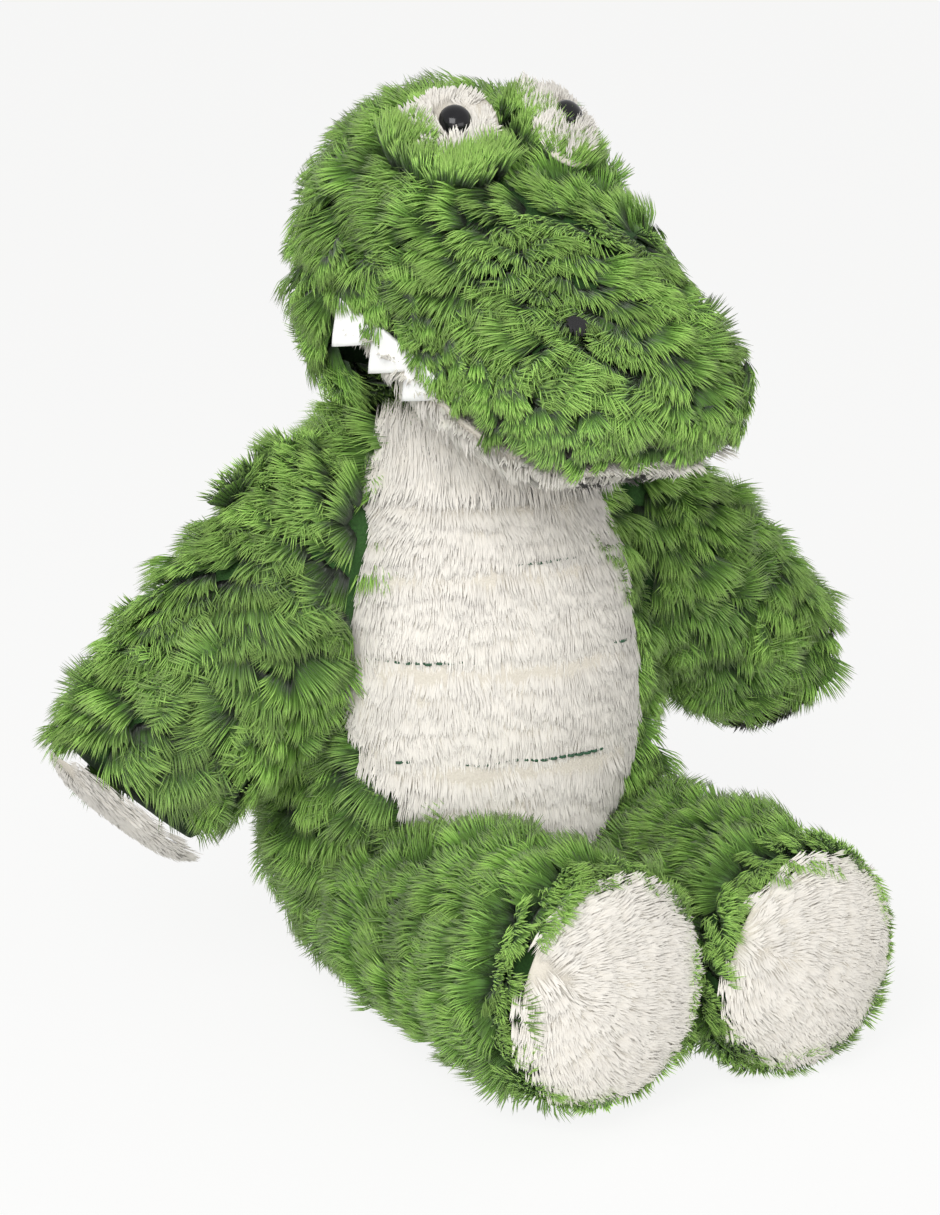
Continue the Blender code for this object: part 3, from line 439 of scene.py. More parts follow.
def add_pile(name, body, colour, form, comb, seed, keep=None, spots_at=None, spacing=0.0076, low=0.01,
             high=0.99, depth=GREEN_DEPTH, length=0.0160, lift=0.55, end=0.06, spread=0.38, swirl=0.85,
             swirl_size=0.05, span=0.0030, columns=6, thick=0.0006, fine=52, width=0.00042, loose=0.06,
             curl=0.20, brush=0.24, rough=1.0, soft=0.0):
    """Pile as locks on a form. A lock's middle direction is the combing there, turned by a slow random swirl.
    Its fibres start side by side, fan out by the spread to each side and by the brush up and down, and end
    together on a shallow arc. A thin sheet of fibres lies in the middle of each lock. rough is how unevenly
    the locks stand. colour holds the sheets' material and the single fibres'; its third part, the slot, is not
    used."""
    chance = np.random.default_rng(seed)
    along, around = spots(form, spacing, low, high, seed) if spots_at is None else spots_at
    out = normals_of(form, along, around)
    middle = form(along, around) - out * depth
    way = comb(middle)
    if keep is not None:
        kept = keep(middle)
        middle, out, way = middle[kept], out[kept], way[kept]
    way = unit(way - out * (way * out).sum(-1, keepdims=True))
    count = len(middle)
    turn = swirl * (1.3 * drift(middle, swirl_size, seed + 1) + chance.normal(0, 0.55, count))
    way = turned_about(way, out, turn)
    big = chance.uniform(0.82, 1.18, count)
    fan_out = spread * chance.uniform(0.6, 1.35, count)
    steep = rough * (0.18 * drift(middle, 0.03, seed + 2) + chance.normal(0, 0.18, count))
    tone = 0.5 + 0.22 * drift(middle, 0.04, seed + 3) + chance.normal(0, 0.20, count)
    bend = curl * drift(middle, 0.03, seed + 4) + chance.normal(0, 0.07, count)

    def fanned(fan, high, extra, shift):
        """The paths at shares of the way across each lock, from -1 to 1, and of its brush's height."""
        each = np.repeat(np.arange(count), fan.shape[1])
        fan = fan.ravel()
        turn = -fan * fan_out[each] + extra * chance.normal(0, 1, len(each))
        roots = (middle[each] + np.cross(way, out)[each] * (fan * span * big[each])[:, None]
                 + way[each] * chance.uniform(-shift, shift, len(each))[:, None])
        long = length * big[each] * (1 - 0.13 * fan**2) * (1 + extra * chance.uniform(-1, 1, len(each)))
        lifts = lift + steep[each] - 0.12 * fan**2 + brush * high + chance.normal(0, 0.4 * extra, len(each))
        ends = end + 0.8 * steep[each] + brush * high + chance.normal(0, 0.6 * extra, len(each))
        return each, dict(roots=roots, ways=turned_about(way[each], out[each], turn), outward=out[each],
                          lengths=long, lifts=lifts, ends=ends, curls=bend[each] + fan * 0.05)

    made = []
    if columns:
        each, paths = fanned(np.tile(np.linspace(-1, 1, columns + 1), (count, 1)), -0.2, 0.01, 0.0002)
        paths["lengths"] = paths["lengths"] * SHEET_LENGTH_SHARE
        tones = np.clip(tone, 0, 1)
        made.append(lock_sheets(name + "_locks", colour[0], columns, thick, tones, chance, **paths))
    fan = chance.uniform(-1.05, 1.05, (count, fine))
    each, paths = fanned(fan, chance.uniform(-0.5, 0.6, count * fine), loose, 0.0012)
    paths["roots"] = paths["roots"] + out[each] * thick
    tones = np.clip(tone[each] + chance.normal(0.06, 0.12, len(each)), 0, 1)
    widths = width * chance.uniform(0.8, 1.2, len(each))
    shares = math.ceil(len(each) / FIBRES_PER_PIECE)
    for number, chosen in enumerate(np.array_split(np.arange(len(each)), shares), 1):
        own_name = name + "_fibres" + ("_%d" % number if shares > 1 else "")
        own = {key: value[chosen] for key, value in paths.items()}
        made.append(single_fibres(own_name, colour[1], widths[chosen], tones[chosen], soft, **own))
    for one in made:
        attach(one, body)


def fibre_group():
    """Colour along a fibre: root, middle and tip colours by v, lighter or darker by the tone in u, with
    streaks much finer than the fibre's width. The piles give it darker roots, which are painted shade deep in
    the pile.
    Its outputs are the colour and the streaks' height."""
    group = bpy.data.node_groups.new("fibre colour", "ShaderNodeTree")
    for way, kind, names in (("INPUT", "Color", ("Root", "Middle", "Tip")),
                             ("INPUT", "Float", ("Tone Spread", "Streaks", "Fineness")),
                             ("OUTPUT", "Color", ("Colour",)), ("OUTPUT", "Float", ("Height",))):
        for name in names:
            group.interface.new_socket(name, in_out=way, socket_type="NodeSocket" + kind)
    given = group.nodes.new("NodeGroupInput").outputs
    where = node(group, "UVMap")
    where.uv_map = "OFBake"
    u, v, _ = node(group, "SeparateXYZ", where.outputs[0]).outputs
    wide, long = math_node(group, "MULTIPLY", u, given["Fineness"]), math_node(group, "MULTIPLY", v, 1.6)
    place = node(group, "CombineXYZ", wide, long).outputs[0]
    streak = node(group, "TexNoise", Vector=place, Scale=1.0, Detail=2.5).outputs[0]
    lower = node(group, "MapRange", Value=v, From_Min=0.10, From_Max=0.62)
    upper = node(group, "MapRange", Value=v, From_Min=0.55, From_Max=1.0)
    mix = node(group, "MixRGB", lower.outputs[0], given["Root"], given["Middle"])
    mix = node(group, "MixRGB", upper.outputs[0], mix.outputs[0], given["Tip"])
    tone = math_node(group, "MULTIPLY", math_node(group, "SUBTRACT", u, 0.5), given["Tone Spread"])
    grain = math_node(group, "MULTIPLY", math_node(group, "SUBTRACT", streak, 0.5), given["Streaks"])
    light = math_node(group, "ADD", math_node(group, "ADD", tone, grain), 1.0)
    light = node(group, "CombineXYZ", light, light, light)
    colour = node(group, "VectorMath", mix.outputs[0], light.outputs[0])
    colour.operation = "MULTIPLY"
    result = group.nodes.new("NodeGroupOutput")
    group.links.new(colour.outputs[0], result.inputs["Colour"])
    group.links.new(streak, result.inputs["Height"])
    return group


fibre_colour = fibre_group()


def pile(name, root, middle, tip, tone_spread, streaks, fineness, strength):
    """Brushed polyester: the fibre colours, a fine bump along the streaks, and the fibres' soft sheen."""
    made, tree, sockets = new_material(name, Roughness=0.62, Specular_IOR_Level=0.35, Sheen_Weight=0.15,
                                       Sheen_Roughness=0.5)
    inside = node(tree, "Group")
    inside.node_tree = fibre_colour
    for number, value in enumerate(((*root, 1), (*middle, 1), (*tip, 1), tone_spread, streaks, fineness)):
        inside.inputs[number].default_value = value
    tree.links.new(inside.outputs["Colour"], sockets["Base Color"])
    relief(tree, sockets, inside.outputs["Height"], strength, 0.0004)
    return made


# Fibre colours at root, middle and tip. The darker roots are painted shade deep in the pile.
GREEN = (0.014, 0.044, 0.006), (0.155, 0.325, 0.046), (0.345, 0.535, 0.130)
# The locks' sheets, which lie under the single fibres, take a darker copy of the green: painted shade under
# the fibres.
SHADED_GREEN = (0.014, 0.044, 0.006), (0.085, 0.195, 0.026), (0.150, 0.270, 0.050)
CREAM = (0.72, 0.68, 0.60), (0.76, 0.72, 0.65), (0.80, 0.77, 0.71)
green_pile = (pile("green locks", *SHADED_GREEN, 0.60, 2.1, 460.0, 0.6),
              pile("green fibres", *GREEN, 0.85, 0.8, 96.0, 0.1), "green pile")
cream_pile = (None, pile("cream fibres", *CREAM, 0.12, 0.25, 96.0, 0.02), "cream pile")
SIDES = (("right", -1), ("left", 1))
PANEL_BOTTOM, PANEL_TOP, PANEL_TURN = 0.058, 0.170, math.radians(6)
PANEL_HALF_ANGLE, PANEL_LEFT_SHARE = math.radians(57), 0.70
PANEL_WIDTH_SHARES = ((0.0, 0.34), (0.07, 0.48), (0.20, 0.74), (0.32, 0.94), (0.46, 1.0), (0.85, 1.0),
                      (1.0, 0.90))
HEAD_PLACE, HEAD_PITCH = np.array((0, 0.005, 0.184)), math.radians(24)
HEAD_TURN = np.array(((1, 0, 0), (0, math.cos(HEAD_PITCH), -math.sin(HEAD_PITCH)),
                      (0, math.sin(HEAD_PITCH), math.cos(HEAD_PITCH))))
ARM_ROOTS = {side: np.array((sign * 0.0495, 0, 0.143)) for side, sign in SIDES}
ARM_WAYS = {"right": unit(np.array((-0.71, -0.05, -0.70))), "left": unit(np.array((0.77, 0.18, -0.61)))}
LEG_YAW, LEG_LIFTS = math.radians(3.7), {"right": math.radians(3.5), "left": 0.0}
HIP_APART, HIP_FORWARD, HIP_HEIGHT = 0.035, 0.026, 0.0358
LIMB_REACH = 0.1
LEG_ROOTS, LEG_WAYS = {}, {}
for side, sign in SIDES:
    apart, flat = sign * HIP_APART, math.cos(LEG_LIFTS[side])
    hip = (apart * math.cos(LEG_YAW), apart * math.sin(LEG_YAW) - HIP_FORWARD, HIP_HEIGHT)
    LEG_ROOTS[side] = np.array(hip)
    LEG_WAYS[side] = np.array((math.sin(LEG_YAW) * flat, -math.cos(LEG_YAW) * flat, math.sin(LEG_LIFTS[side])))


def off_axis(points, root, way):
    """How far points lie from a straight middle line of a limb, from its root to its reach."""
    along = np.clip((points - root) @ way, 0, LIMB_REACH)
    return np.linalg.norm(points - root - along[..., None] * way, axis=-1)


def torso_share(points):
    """How far out points are from the torso's middle line, as a share of its outline at their level."""
    wide, deep = torso_size(points[..., 2])
    return np.hypot(points[..., 0] / wide, points[..., 1] / deep)


def in_panel(points, margin):
    """Whether points lie behind the belly panel, drawn in by a margin."""
    around = np.arctan2(points[..., 0] / TORSO_HALF_WIDTH, -points[..., 1] / TORSO_HALF_DEPTH) + PANEL_TURN
    share = (points[..., 2] - PANEL_BOTTOM) / (PANEL_TOP - PANEL_BOTTOM)
    half = PANEL_HALF_ANGLE * read_shares(PANEL_WIDTH_SHARES, share)[0] - margin / TORSO_HALF_DEPTH
    inside = (points[..., 2] > PANEL_BOTTOM + margin) & (points[..., 2] < PANEL_TOP + 0.02)
    return inside & (around > -half) & (around < half * PANEL_LEFT_SHARE)


def torso_keeps(points):
    """Outside the belly panel, the arms' and legs' middles, and above the seat."""
    kept = ~in_panel(points, 0.003) & (points[..., 2] > 0.011)
    for side, _ in SIDES:
        kept &= off_axis(points, ARM_ROOTS[side], ARM_WAYS[side]) > 0.014
        kept &= off_axis(points, LEG_ROOTS[side], LEG_WAYS[side]) > 0.022
    return kept


def torso_comb(points):
    """Down and back. In front the locks lean in over the belly's edge, but not low on the toy's right. There
    and over the flanks they lean outward."""
    right = np.where((points[:, 2] > 0.09) & (points[:, 1] < -0.01), 0.4, -0.4)
    return xyz(np.where(points[:, 0] < 0, right, np.where(points[:, 1] < -0.02, -0.35, 0.4)), 0.35, -1)


def shoulder_comb(points):
    """Outward and up."""
    return xyz(np.sign(points[:, 0]), 0, 0.7)


def on_shoulders(points):
    """Outside the belly panel and away from the middle."""
    return ~in_panel(points, -0.002) & (np.abs(points[:, 0]) > 0.012)


add_pile("torso", "torso", green_pile, torso_form, torso_comb, 11, keep=torso_keeps, high=1.0)
add_pile("shoulder", "torso", green_pile, torso_form, shoulder_comb, 17, keep=on_shoulders, low=0.92,
         high=1.0, depth=0.004, spacing=0.0062, length=0.0215, lift=0.95, end=0.50, swirl=0.5)


# The belly panel: cream plush with short pile, combed down, that puffs between its four rows of quilting.
# The same pile goes on over the throat, up to the jaw.
QUILT_ROWS = (0.086, 0.115, 0.142, 0.161)
PANEL_BACK, PANEL_SWELL, QUILT_DIP, PANEL_SINK = 0.0045, 0.0022, 0.0012, 0.0008
THROAT_ARC, THROAT_HALF_WIDTH, THROAT_HALF_DEPTH, THROAT_BOTTOM, THROAT_RISE = 2.3, 0.042, 0.039, 0.167, 0.021
CREAM_SPACING = 0.0034
CREAM_BRUSH = dict(columns=0, thick=0.0, end=0.0, spread=0.05, swirl=0.2, span=0.0042, curl=0.05, brush=0.05,
                   rough=0.2, soft=0.97)


def on_torso(angle, level):
    """Points of the torso's outline at an angle from straight ahead, and the outward directions there."""
    wide, deep = torso_size(level)
    out = unit(xyz(np.sin(angle) * deep, -np.cos(angle) * wide, 0))
    return xyz(np.sin(angle) * wide, -np.cos(angle) * deep, level), out


def belly_form(along, around):
    """The torso's front inside the panel's outline. It stands out in the middle of each channel by the sine
    of the way across the channel, and falls to nothing at the sides. around runs over its front and back."""
    across = -np.cos(around)
    level = PANEL_BOTTOM + along * (PANEL_TOP - PANEL_BOTTOM)
    half = PANEL_HALF_ANGLE * read_shares(PANEL_WIDTH_SHARES, along)[0]
    stops = np.array((PANEL_BOTTOM,) + QUILT_ROWS + (PANEL_TOP,))
    k = np.clip(np.searchsorted(stops, level, side="right") - 1, 0, len(stops) - 2)
    puff = np.sin(math.pi * np.clip((level - stops[k]) / (stops[k + 1] - stops[k]), 0, 1)) ** 0.7
    front = (PANEL_SWELL - QUILT_DIP * (1 - puff)) * (1 - across**4) - PANEL_SINK
    points, out = on_torso(half * np.where(across > 0, PANEL_LEFT_SHARE * across, across) - PANEL_TURN, level)
    return points + out * np.where(np.sin(around) < 0, -PANEL_BACK, front)[..., None]


def belly_spots(spacing, seed):
    """Places over the panel's front: rows a spacing apart, with places across each row by its width."""
    chance = np.random.default_rng(seed)
    rows = np.linspace(0.01, 0.995, int((PANEL_TOP - PANEL_BOTTOM) / spacing))
    widths = read_shares(PANEL_WIDTH_SHARES, rows)[0] * PANEL_HALF_ANGLE * 2 * TORSO_HALF_DEPTH
    counts = np.rint(widths / spacing).astype(int)
    row, step = numbered(counts)
    across = 2 * (step + 0.5 + chance.uniform(-0.4, 0.4, len(row))) / counts[row] - 1
    along = rows[row] + chance.uniform(-0.45, 0.45, len(row)) * (rows[1] - rows[0])
    return np.clip(along, 0.004, 0.999), np.arccos(np.clip(across, -0.999, 0.999))


def down(points):
    """Down, with a slow drift across."""
    return xyz(0.10 * drift(points, 0.04, 3), 0, -1)


def add_cream(name, body, form, comb, seed, **own):
    """Cream pile: single fibres, close together and nearly flat, where the piece has no values of its own."""
    add_pile(name, body, cream_pile, form, comb, seed, **{**CREAM_BRUSH, **own})


def throat_form(along, around):
    """The front of the torso's upper rim up to the jaw: an ellipse that narrows upward. around runs over the
    front half only."""
    angle = (around / (2 * math.pi) - 0.5) * THROAT_ARC - PANEL_TURN
    wide, deep = THROAT_HALF_WIDTH - 0.010 * along, THROAT_HALF_DEPTH - 0.009 * along
    return xyz(np.sin(angle) * wide, -np.cos(angle) * deep - 0.001, THROAT_BOTTOM + THROAT_RISE * along)


rings = belly_form(*ring_grid(0, 1, 60, 64))
stands_for(shell("belly_backing", rings, cream_fabric[0]), "torso", "belly_panel")
add_cream("belly", "torso", belly_form, down, 23, spots_at=belly_spots(CREAM_SPACING, 5), depth=0.0006,
          length=0.0090, lift=0.17, swirl=0.12, swirl_size=0.03, fine=32, brush=0.03, rough=0.16)
add_cream("throat", "torso", throat_form, down, 29, spacing=CREAM_SPACING, low=0.0, high=1.0, depth=0.0,
          length=0.0120, lift=0.16, end=-0.12, fine=26, loose=0.09)


# The quilting: four rows of dark green running stitches through the belly panel, which draw it in. The
# thread dips into the pile between two stitches.
STITCH_RADIUS, STITCHES, STITCHED_SHARE, STITCH_POINTS = 0.00042, 26, 0.86, 360


def pattern(tree, kind, **inputs):
    """A texture that is laid out in the piece's own place."""
    return node(tree, "Tex" + kind, Vector=node(tree, "TexCoord").outputs["Object"], **inputs)


def thread(name, roughness, scale, wander, dark, light, bands="X", strength=0.0):
    """Thread: two colours in the bands of its twist, which wander a little, and a bump where it has one."""
    made, tree, sockets = new_material(name, Roughness=roughness)
    twist = pattern(tree, "Wave", Scale=scale, Distortion=wander)
    twist.bands_direction = bands
    two_colours(tree, sockets, twist.outputs[1], dark, light)
    if strength:
        relief(tree, sockets, twist.outputs[1], strength, 0.0002)
    return made


def tube(name, path, radius, material, sides=8):
    """A round closed tube along a path of points, with rings at right angles to the path."""
    tangent = unit(np.gradient(path, axis=0))
    across = unit(np.cross(tangent, np.array((0.13, 0.21, 1.0))))
    up = np.cross(across, tangent)
    turn = np.linspace(0, 2 * math.pi, sides, endpoint=False)[None, :, None]
    rings = path[:, None] + (across[:, None] * np.cos(turn) + up[:, None] * np.sin(turn)) * radius
    return shell(name, rings, material)


stitch_thread = thread("stitching thread", 0.6, 900.0, 2.0, (0.010, 0.050, 0.022), (0.035, 0.120, 0.060),
                       bands="DIAGONAL", strength=0.6)
for number, level in enumerate(QUILT_ROWS, 1):
    share = (level - PANEL_BOTTOM) / (PANEL_TOP - PANEL_BOTTOM)
    half = read_shares(PANEL_WIDTH_SHARES, share)[0] * STITCHED_SHARE
    across = np.linspace(-half, half * PANEL_LEFT_SHARE, STITCH_POINTS)
    path, out = on_torso(PANEL_HALF_ANGLE * across - PANEL_TURN, level)
    stitch = np.sin(np.linspace(0, 2 * math.pi * STITCHES, STITCH_POINTS))
    lift = 0.0009 * np.clip(stitch + 0.2, -0.4, 0.7) + 0.0016 * (drift(out, 0.5, 60 + number) - 0.35)
    path[:, 2] += 0.0005 * drift(out, 0.15, 50 + number)
    made = tube("stitches_%d" % number, path + out * lift[:, None], STITCH_RADIUS, stitch_thread)
    stands_for(made, "torso", "quilting_thread_%d" % number)


# The neck: a short stuffed ball of the same green plush on the torso, inside the socket under the head.
# Its short pile is combed straight down.
NECK_CENTRE, NECK_RADIUS = HEAD_PLACE + HEAD_TURN @ np.array((0, 0.009, -0.004)), 0.0225


def neck_form(along, around):
    """A ball with its poles below and above."""
    angle = (along - 0.5) * math.pi
    ball = xyz(np.cos(angle) * np.sin(around), -np.cos(angle) * np.cos(around), np.sin(angle))
    return NECK_CENTRE + NECK_RADIUS * ball


def combed(way):
    """Combing that is the same everywhere."""
    return lambda points: np.asarray(way) + 0 * points


backing("neck_backing", "neck", "neck", neck_form, 0.002, green_fabric, low=0.25, high=0.999, rows=16,
        columns=32)
add_pile("neck", "neck", green_pile, neck_form, combed((0, 0, -1)), 31, low=0.3, high=0.75, depth=0.003,
         length=0.010, lift=0.7, end=0.2, fine=6)


# The head: crown, cheeks and snout sewn from green plush as one stuffed form. The pile runs back from the
# eyes over the crown, and forward and down over the snout, in deep swirls.
HEAD_BACK, SNOUT_REACH, HEAD_HALF_WIDTH, HEAD_CROWN, MOUTH_HEIGHT = 0.065, 0.099, 0.054, 0.090, 0.038
HEAD_DEPTH = 0.0086
HEAD_SHARES = ((0.000, 0.16, 0.54, 0.90, 0.50), (0.030, 0.44, 0.68, 0.42, 0.50),
               (0.090, 0.70, 0.84, 0.06, 0.50), (0.190, 0.90, 0.98, -0.17, 0.50),
               (0.310, 1.00, 0.98, -0.21, 0.50), (0.410, 0.99, 0.945, -0.10, 0.50),
               (0.510, 0.92, 0.91, 0.40, 0.48), (0.590, 0.86, 0.89, 0.92, 0.42),
               (0.685, 0.81, 0.865, 1.00, 0.40), (0.800, 0.77, 0.83, 1.00, 0.40),
               (0.900, 0.70, 0.77, 1.00, 0.40), (0.965, 0.53, 0.69, 1.02, 0.40),
               (1.000, 0.22, 0.60, 1.12, 0.40))
PATCH_RISE, EYE_BARE, NOSTRIL_BARE, NECK_BARE = 0.0046, 0.0118, 0.0038, 0.022
EYE_SIDEWAYS, EYE_FORWARD = math.radians(16), math.radians(27)
EYE_PLACES = {side: np.array((sign * 0.0175, 0.0070, 0.0900 - PATCH_RISE)) for side, sign in SIDES}
EYE_WAYS = {side: unit(xyz(sign * math.sin(EYE_SIDEWAYS), -math.sin(EYE_FORWARD), math.cos(EYE_FORWARD)))
            for side, sign in SIDES}
NOSTRILS = {side: np.array((sign * 0.0170, -0.0740, 0.0722)) for side, sign in SIDES}
TUFTS = (("brow_right", "right", -0.70, 1.05, 0.15, 0.50, 66, 0.0130, 0.9, 0.0018),
         ("brow_left", "left", -0.50, 1.35, 0.40, 1.00, 110, 0.0112, 1.0, 0.0045),
         ("crest_right", "right", 2.50, 1.0, 0.50, 0.95, 50, 0.0060, 0.8, 0.0060),
         ("crest_left", "left", 2.60, 1.2, 0.45, 0.90, 50, 0.0060, 0.8, 0.0066))


def on_head(points):
    """Points counted from the head's own place, nodded forward with it."""
    return points @ HEAD_TURN.T + HEAD_PLACE


def from_head(points):
    """The other way round: points of the toy as the head counts them."""
    return (points - HEAD_PLACE) @ HEAD_TURN


def bulge(value, power):
    """A sine or cosine made squarer: its size to the power of 2 / power, with its sign kept."""
    return np.sign(value) * np.abs(value) ** (2 / power)


def head_form(along, around):
    """From back to snout, at each place a superellipse above the widest level and a squarer one below it.
    around is counted from the toy's left side upward."""
    wide, top, bottom, share = read_shares(HEAD_SHARES, along)
    top, bottom = top * HEAD_CROWN, bottom * MOUTH_HEIGHT
    widest = bottom + share * (top - bottom)
    c, s = np.cos(around), np.sin(around)
    power = np.where(s >= 0, 2.2, 3.0)
    y = HEAD_BACK - along * (HEAD_BACK + SNOUT_REACH)
    z = widest + bulge(s, power) * np.where(s >= 0, top - widest, widest - bottom)
    return on_head(xyz(bulge(c, power) * wide * HEAD_HALF_WIDTH, y, z))


def head_half_width(y):
    """The head's half width at a place from back to front."""
    share = np.clip((HEAD_BACK - y) / (HEAD_BACK + SNOUT_REACH), 0, 0.995)
    return read_shares(HEAD_SHARES, share)[0] * HEAD_HALF_WIDTH


def head_keeps(points):
    """Above the lip and the jaw's bed, and clear of the eyes, the right nostril and the neck."""
    own = from_head(points)
    _, y, z = own.T
    lip = MOUTH_HEIGHT + 0.0105 + 0.003 * np.clip((-0.050 - y) / 0.020, 0, 1)
    kept = ~((z < lip) & (y < -0.005)) & ~((z < MOUTH_HEIGHT + 0.001) & (y < 0.002))
    for side, _ in SIDES:
        kept &= np.linalg.norm(own - EYE_PLACES[side], axis=1) > EYE_BARE
    off = own - NOSTRILS["right"] + np.array((0, 0.001, 0.005))
    off[:, 1] *= np.where(off[:, 1] > 0, 0.36, 1)
    kept &= np.linalg.norm(off, axis=1) > NOSTRIL_BARE
    return kept & (np.linalg.norm(points - NECK_CENTRE, axis=1) > NECK_BARE)


def head_comb(points):
    """Up and back round the eyes and behind them, forward over the snout, and down at the sides."""
    x, y, z = from_head(points).T
    front = np.clip((-0.026 - y) / 0.015, -1, 1)
    low = np.clip((z - MOUTH_HEIGHT - 0.006) / 0.022, 0.0, 1)
    sink = np.where(y < -0.008, 0.15 - 0.85 * low, -0.7 - 2.0 * np.clip((y - 0.040) / 0.02, 0, 1))
    sink -= 0.9 * np.clip((-0.078 - y) / 0.014, 0, 1)
    cheek = (z < MOUTH_HEIGHT + 0.018) & (y > -0.008) & (y < 0.030)
    return xyz(14 * x - 0.9 * (1 - front**2), np.where(cheek, -0.40, -front), sink) @ HEAD_TURN.T


def lip_form(along, around):
    """The line of the upper lip round the snout, from the right corner of the mouth to the left, as a low
    wall: around picks the place along the lip, along the height above the mouth."""
    turn = (around / (2 * math.pi)) * 2 - 1
    reach = np.clip(1 - np.abs(turn), 0, 1)
    y = 0.002 - (SNOUT_REACH - 0.001) * np.clip(reach * 1.35, 0, 1) ** 0.85
    front = np.clip((reach - 0.74) / 0.26, 0, 1)
    x = np.sign(turn) * head_half_width(y) * (1 - front) ** 0.5
    return on_head(xyz(x, y, MOUTH_HEIGHT + 0.004 + 0.014 * along))


def over_mouth(outward, forward):
    """Combing down from the mouth's edge, forward by a share, and outward by the place across the head."""
    return lambda points: xyz(outward * from_head(points)[:, 0], -forward, -0.8) @ HEAD_TURN.T


def about(centre, way, around, radius, level, hint=(0.0, 0.0, 1.0)):
    """Points about a line through a centre along a way, at an angle, a radius and a level along the line.
    The angle is counted from the direction at right angles to the way and the hint."""
    across = unit(np.cross(way, hint))
    around, radius, level = (value[..., None] for value in np.broadcast_arrays(around, radius, level))
    return centre + (across * np.cos(around) + np.cross(way, across) * np.sin(around)) * radius + way * level


def brow_form(side, sunk):
    """A low cone of places round an eye, sunk below its seat, counted from the front."""
    centre, way = on_head(EYE_PLACES[side]), HEAD_TURN @ EYE_WAYS[side]
    hint = np.cross(HEAD_TURN @ np.array((0, -1.0, 0)), way)
    return lambda along, around: about(centre, way, around, 0.006 + 0.015 * (1 - along),
                                       -sunk - 0.003 * (1 - along), hint)


head_backing = backing("head_backing", "head", "head", head_form, HEAD_DEPTH - ROOT_COVER, green_fabric,
                       low=0.04, high=0.96)
# In front of the neck the fabric stops above the lower jaw.
corners = np.empty(len(head_backing.data.vertices) * 3, np.float32)
head_backing.data.vertices.foreach_get("co", corners)
own = from_head(corners.reshape(-1, 3).astype(float))
above_jaw = MOUTH_HEIGHT + 0.004 - 0.09 * np.clip((own[:, 1] - 0.0125) / 0.006, 0, 1)
own[:, 2] = np.maximum(own[:, 2], above_jaw)
head_backing.data.vertices.foreach_set("co", on_head(own).astype(np.float32).ravel())

add_pile("crown", "head", green_pile, head_form, head_comb, 51, keep=head_keeps, spacing=0.0068, high=0.50,
         depth=HEAD_DEPTH, lift=0.58, end=-0.08)
add_pile("snout", "head", green_pile, head_form, head_comb, 57, keep=head_keeps, spacing=0.0066, low=0.50,
         high=0.985, depth=HEAD_DEPTH, length=0.0150, lift=0.58, end=-0.02)
chance = np.random.default_rng(65)
places = chance.uniform(0.0, 1.0, 220), chance.uniform(0.0, 2 * math.pi, 220)
add_pile("lip", "head", green_pile, lip_form, over_mouth(4, 0.5), 66, spots_at=places, depth=0.0014,
         length=0.0074, lift=0.40, end=0.0, swirl=0.45, spread=0.35, span=0.0022, fine=40)
for name, side, turned_by, half, low, high, count, long, lean, sunk in TUFTS:
    chance = np.random.default_rng(67)
    places = chance.uniform(low, high, count), turned_by + chance.uniform(-half, half, count)
    upward = combed(HEAD_TURN @ np.array((0, lean, 1.0)))
    add_pile(name, "head", green_pile, brow_form(side, sunk), upward, 68, spots_at=places, depth=0.0,
             length=long, lift=1.10, end=0.90, spread=0.35, swirl=0.35, span=0.0020, fine=40)


# The lower jaw: a flat cream pad sewn in at the corners of the mouth, with very short pile. It hinges
# there, below the head's own fabric.
JAW_PLACE = np.array((0, -0.006, MOUTH_HEIGHT))
JAW_REACH, JAW_THICKNESS, JAW_HALF_WIDTH = 0.088, 0.0235, 0.0455
JAW_SHARES = ((0.00, 0.80, 0.16), (0.04, 0.88, 0.55), (0.12, 0.93, 0.86), (0.24, 0.98, 1.00),
              (0.45, 1.00, 0.95), (0.65, 0.97, 0.82), (0.82, 0.88, 0.66), (0.93, 0.68, 0.50),
              (1.00, 0.34, 0.22))


def jaw_form(along, around):
    """From heel to tip, at each place nearly flat above and a squarish superellipse below."""
    wide, deep = read_shares(JAW_SHARES, along)
    s = np.sin(around)
    power = np.where(s >= 0, 2.0, 2.4)
    z = bulge(s, power) * np.where(s >= 0, 0.0006, deep * JAW_THICKNESS) - 0.001
    y = JAW_THICKNESS - along * (JAW_THICKNESS + JAW_REACH)
    return on_head(xyz(bulge(np.cos(around), power) * wide * JAW_HALF_WIDTH, y, z) + JAW_PLACE)


def jaw_keeps(points):
    """Below the mouth."""
    return from_head(points)[:, 2] < MOUTH_HEIGHT - 0.0022


backing("jaw_backing", "jaw", "lower_jaw", jaw_form, 0.0020, cream_fabric, low=0.03, high=0.98)
add_cream("jaw", "jaw", jaw_form, over_mouth(6, 0.35), 61, keep=jaw_keeps, spacing=0.0050, depth=0.0022,
          length=0.0075, lift=0.42, end=0.05, spread=-0.05, span=0.0030, fine=18, width=0.00050, loose=0.1,
          curl=0.06, brush=0.10, rough=1.0, soft=0.75)


# The teeth: a strip of stiff white felt along each side of the upper lip, cut in three points that lean
# back, and sewn in under the pile.
TEETH, TOOTH_WIDTH, TOOTH_LEAN, FIRST_TOOTH = 3, 0.0150, 0.0050, 0.0085
STRIP_RISE, STRIP_DROP, TOOTH_DROP, FELT_HALF_THICKNESS = 0.0042, 0.0022, 0.0105, 0.0007
white_felt, tree, sockets = new_material("cut felt", Roughness=0.95, Sheen_Weight=0.2)
matted = pattern(tree, "Noise", Scale=900.0, Detail=4.0).outputs[0]
clouds = pattern(tree, "Noise", Scale=120.0, Detail=2.0).outputs[0]
clouded = math_node(tree, "MULTIPLY", matted, clouds)
two_colours(tree, sockets, clouded, (0.93, 0.93, 0.92), (0.84, 0.83, 0.81))
relief(tree, sockets, matted, 0.35, 0.0004)


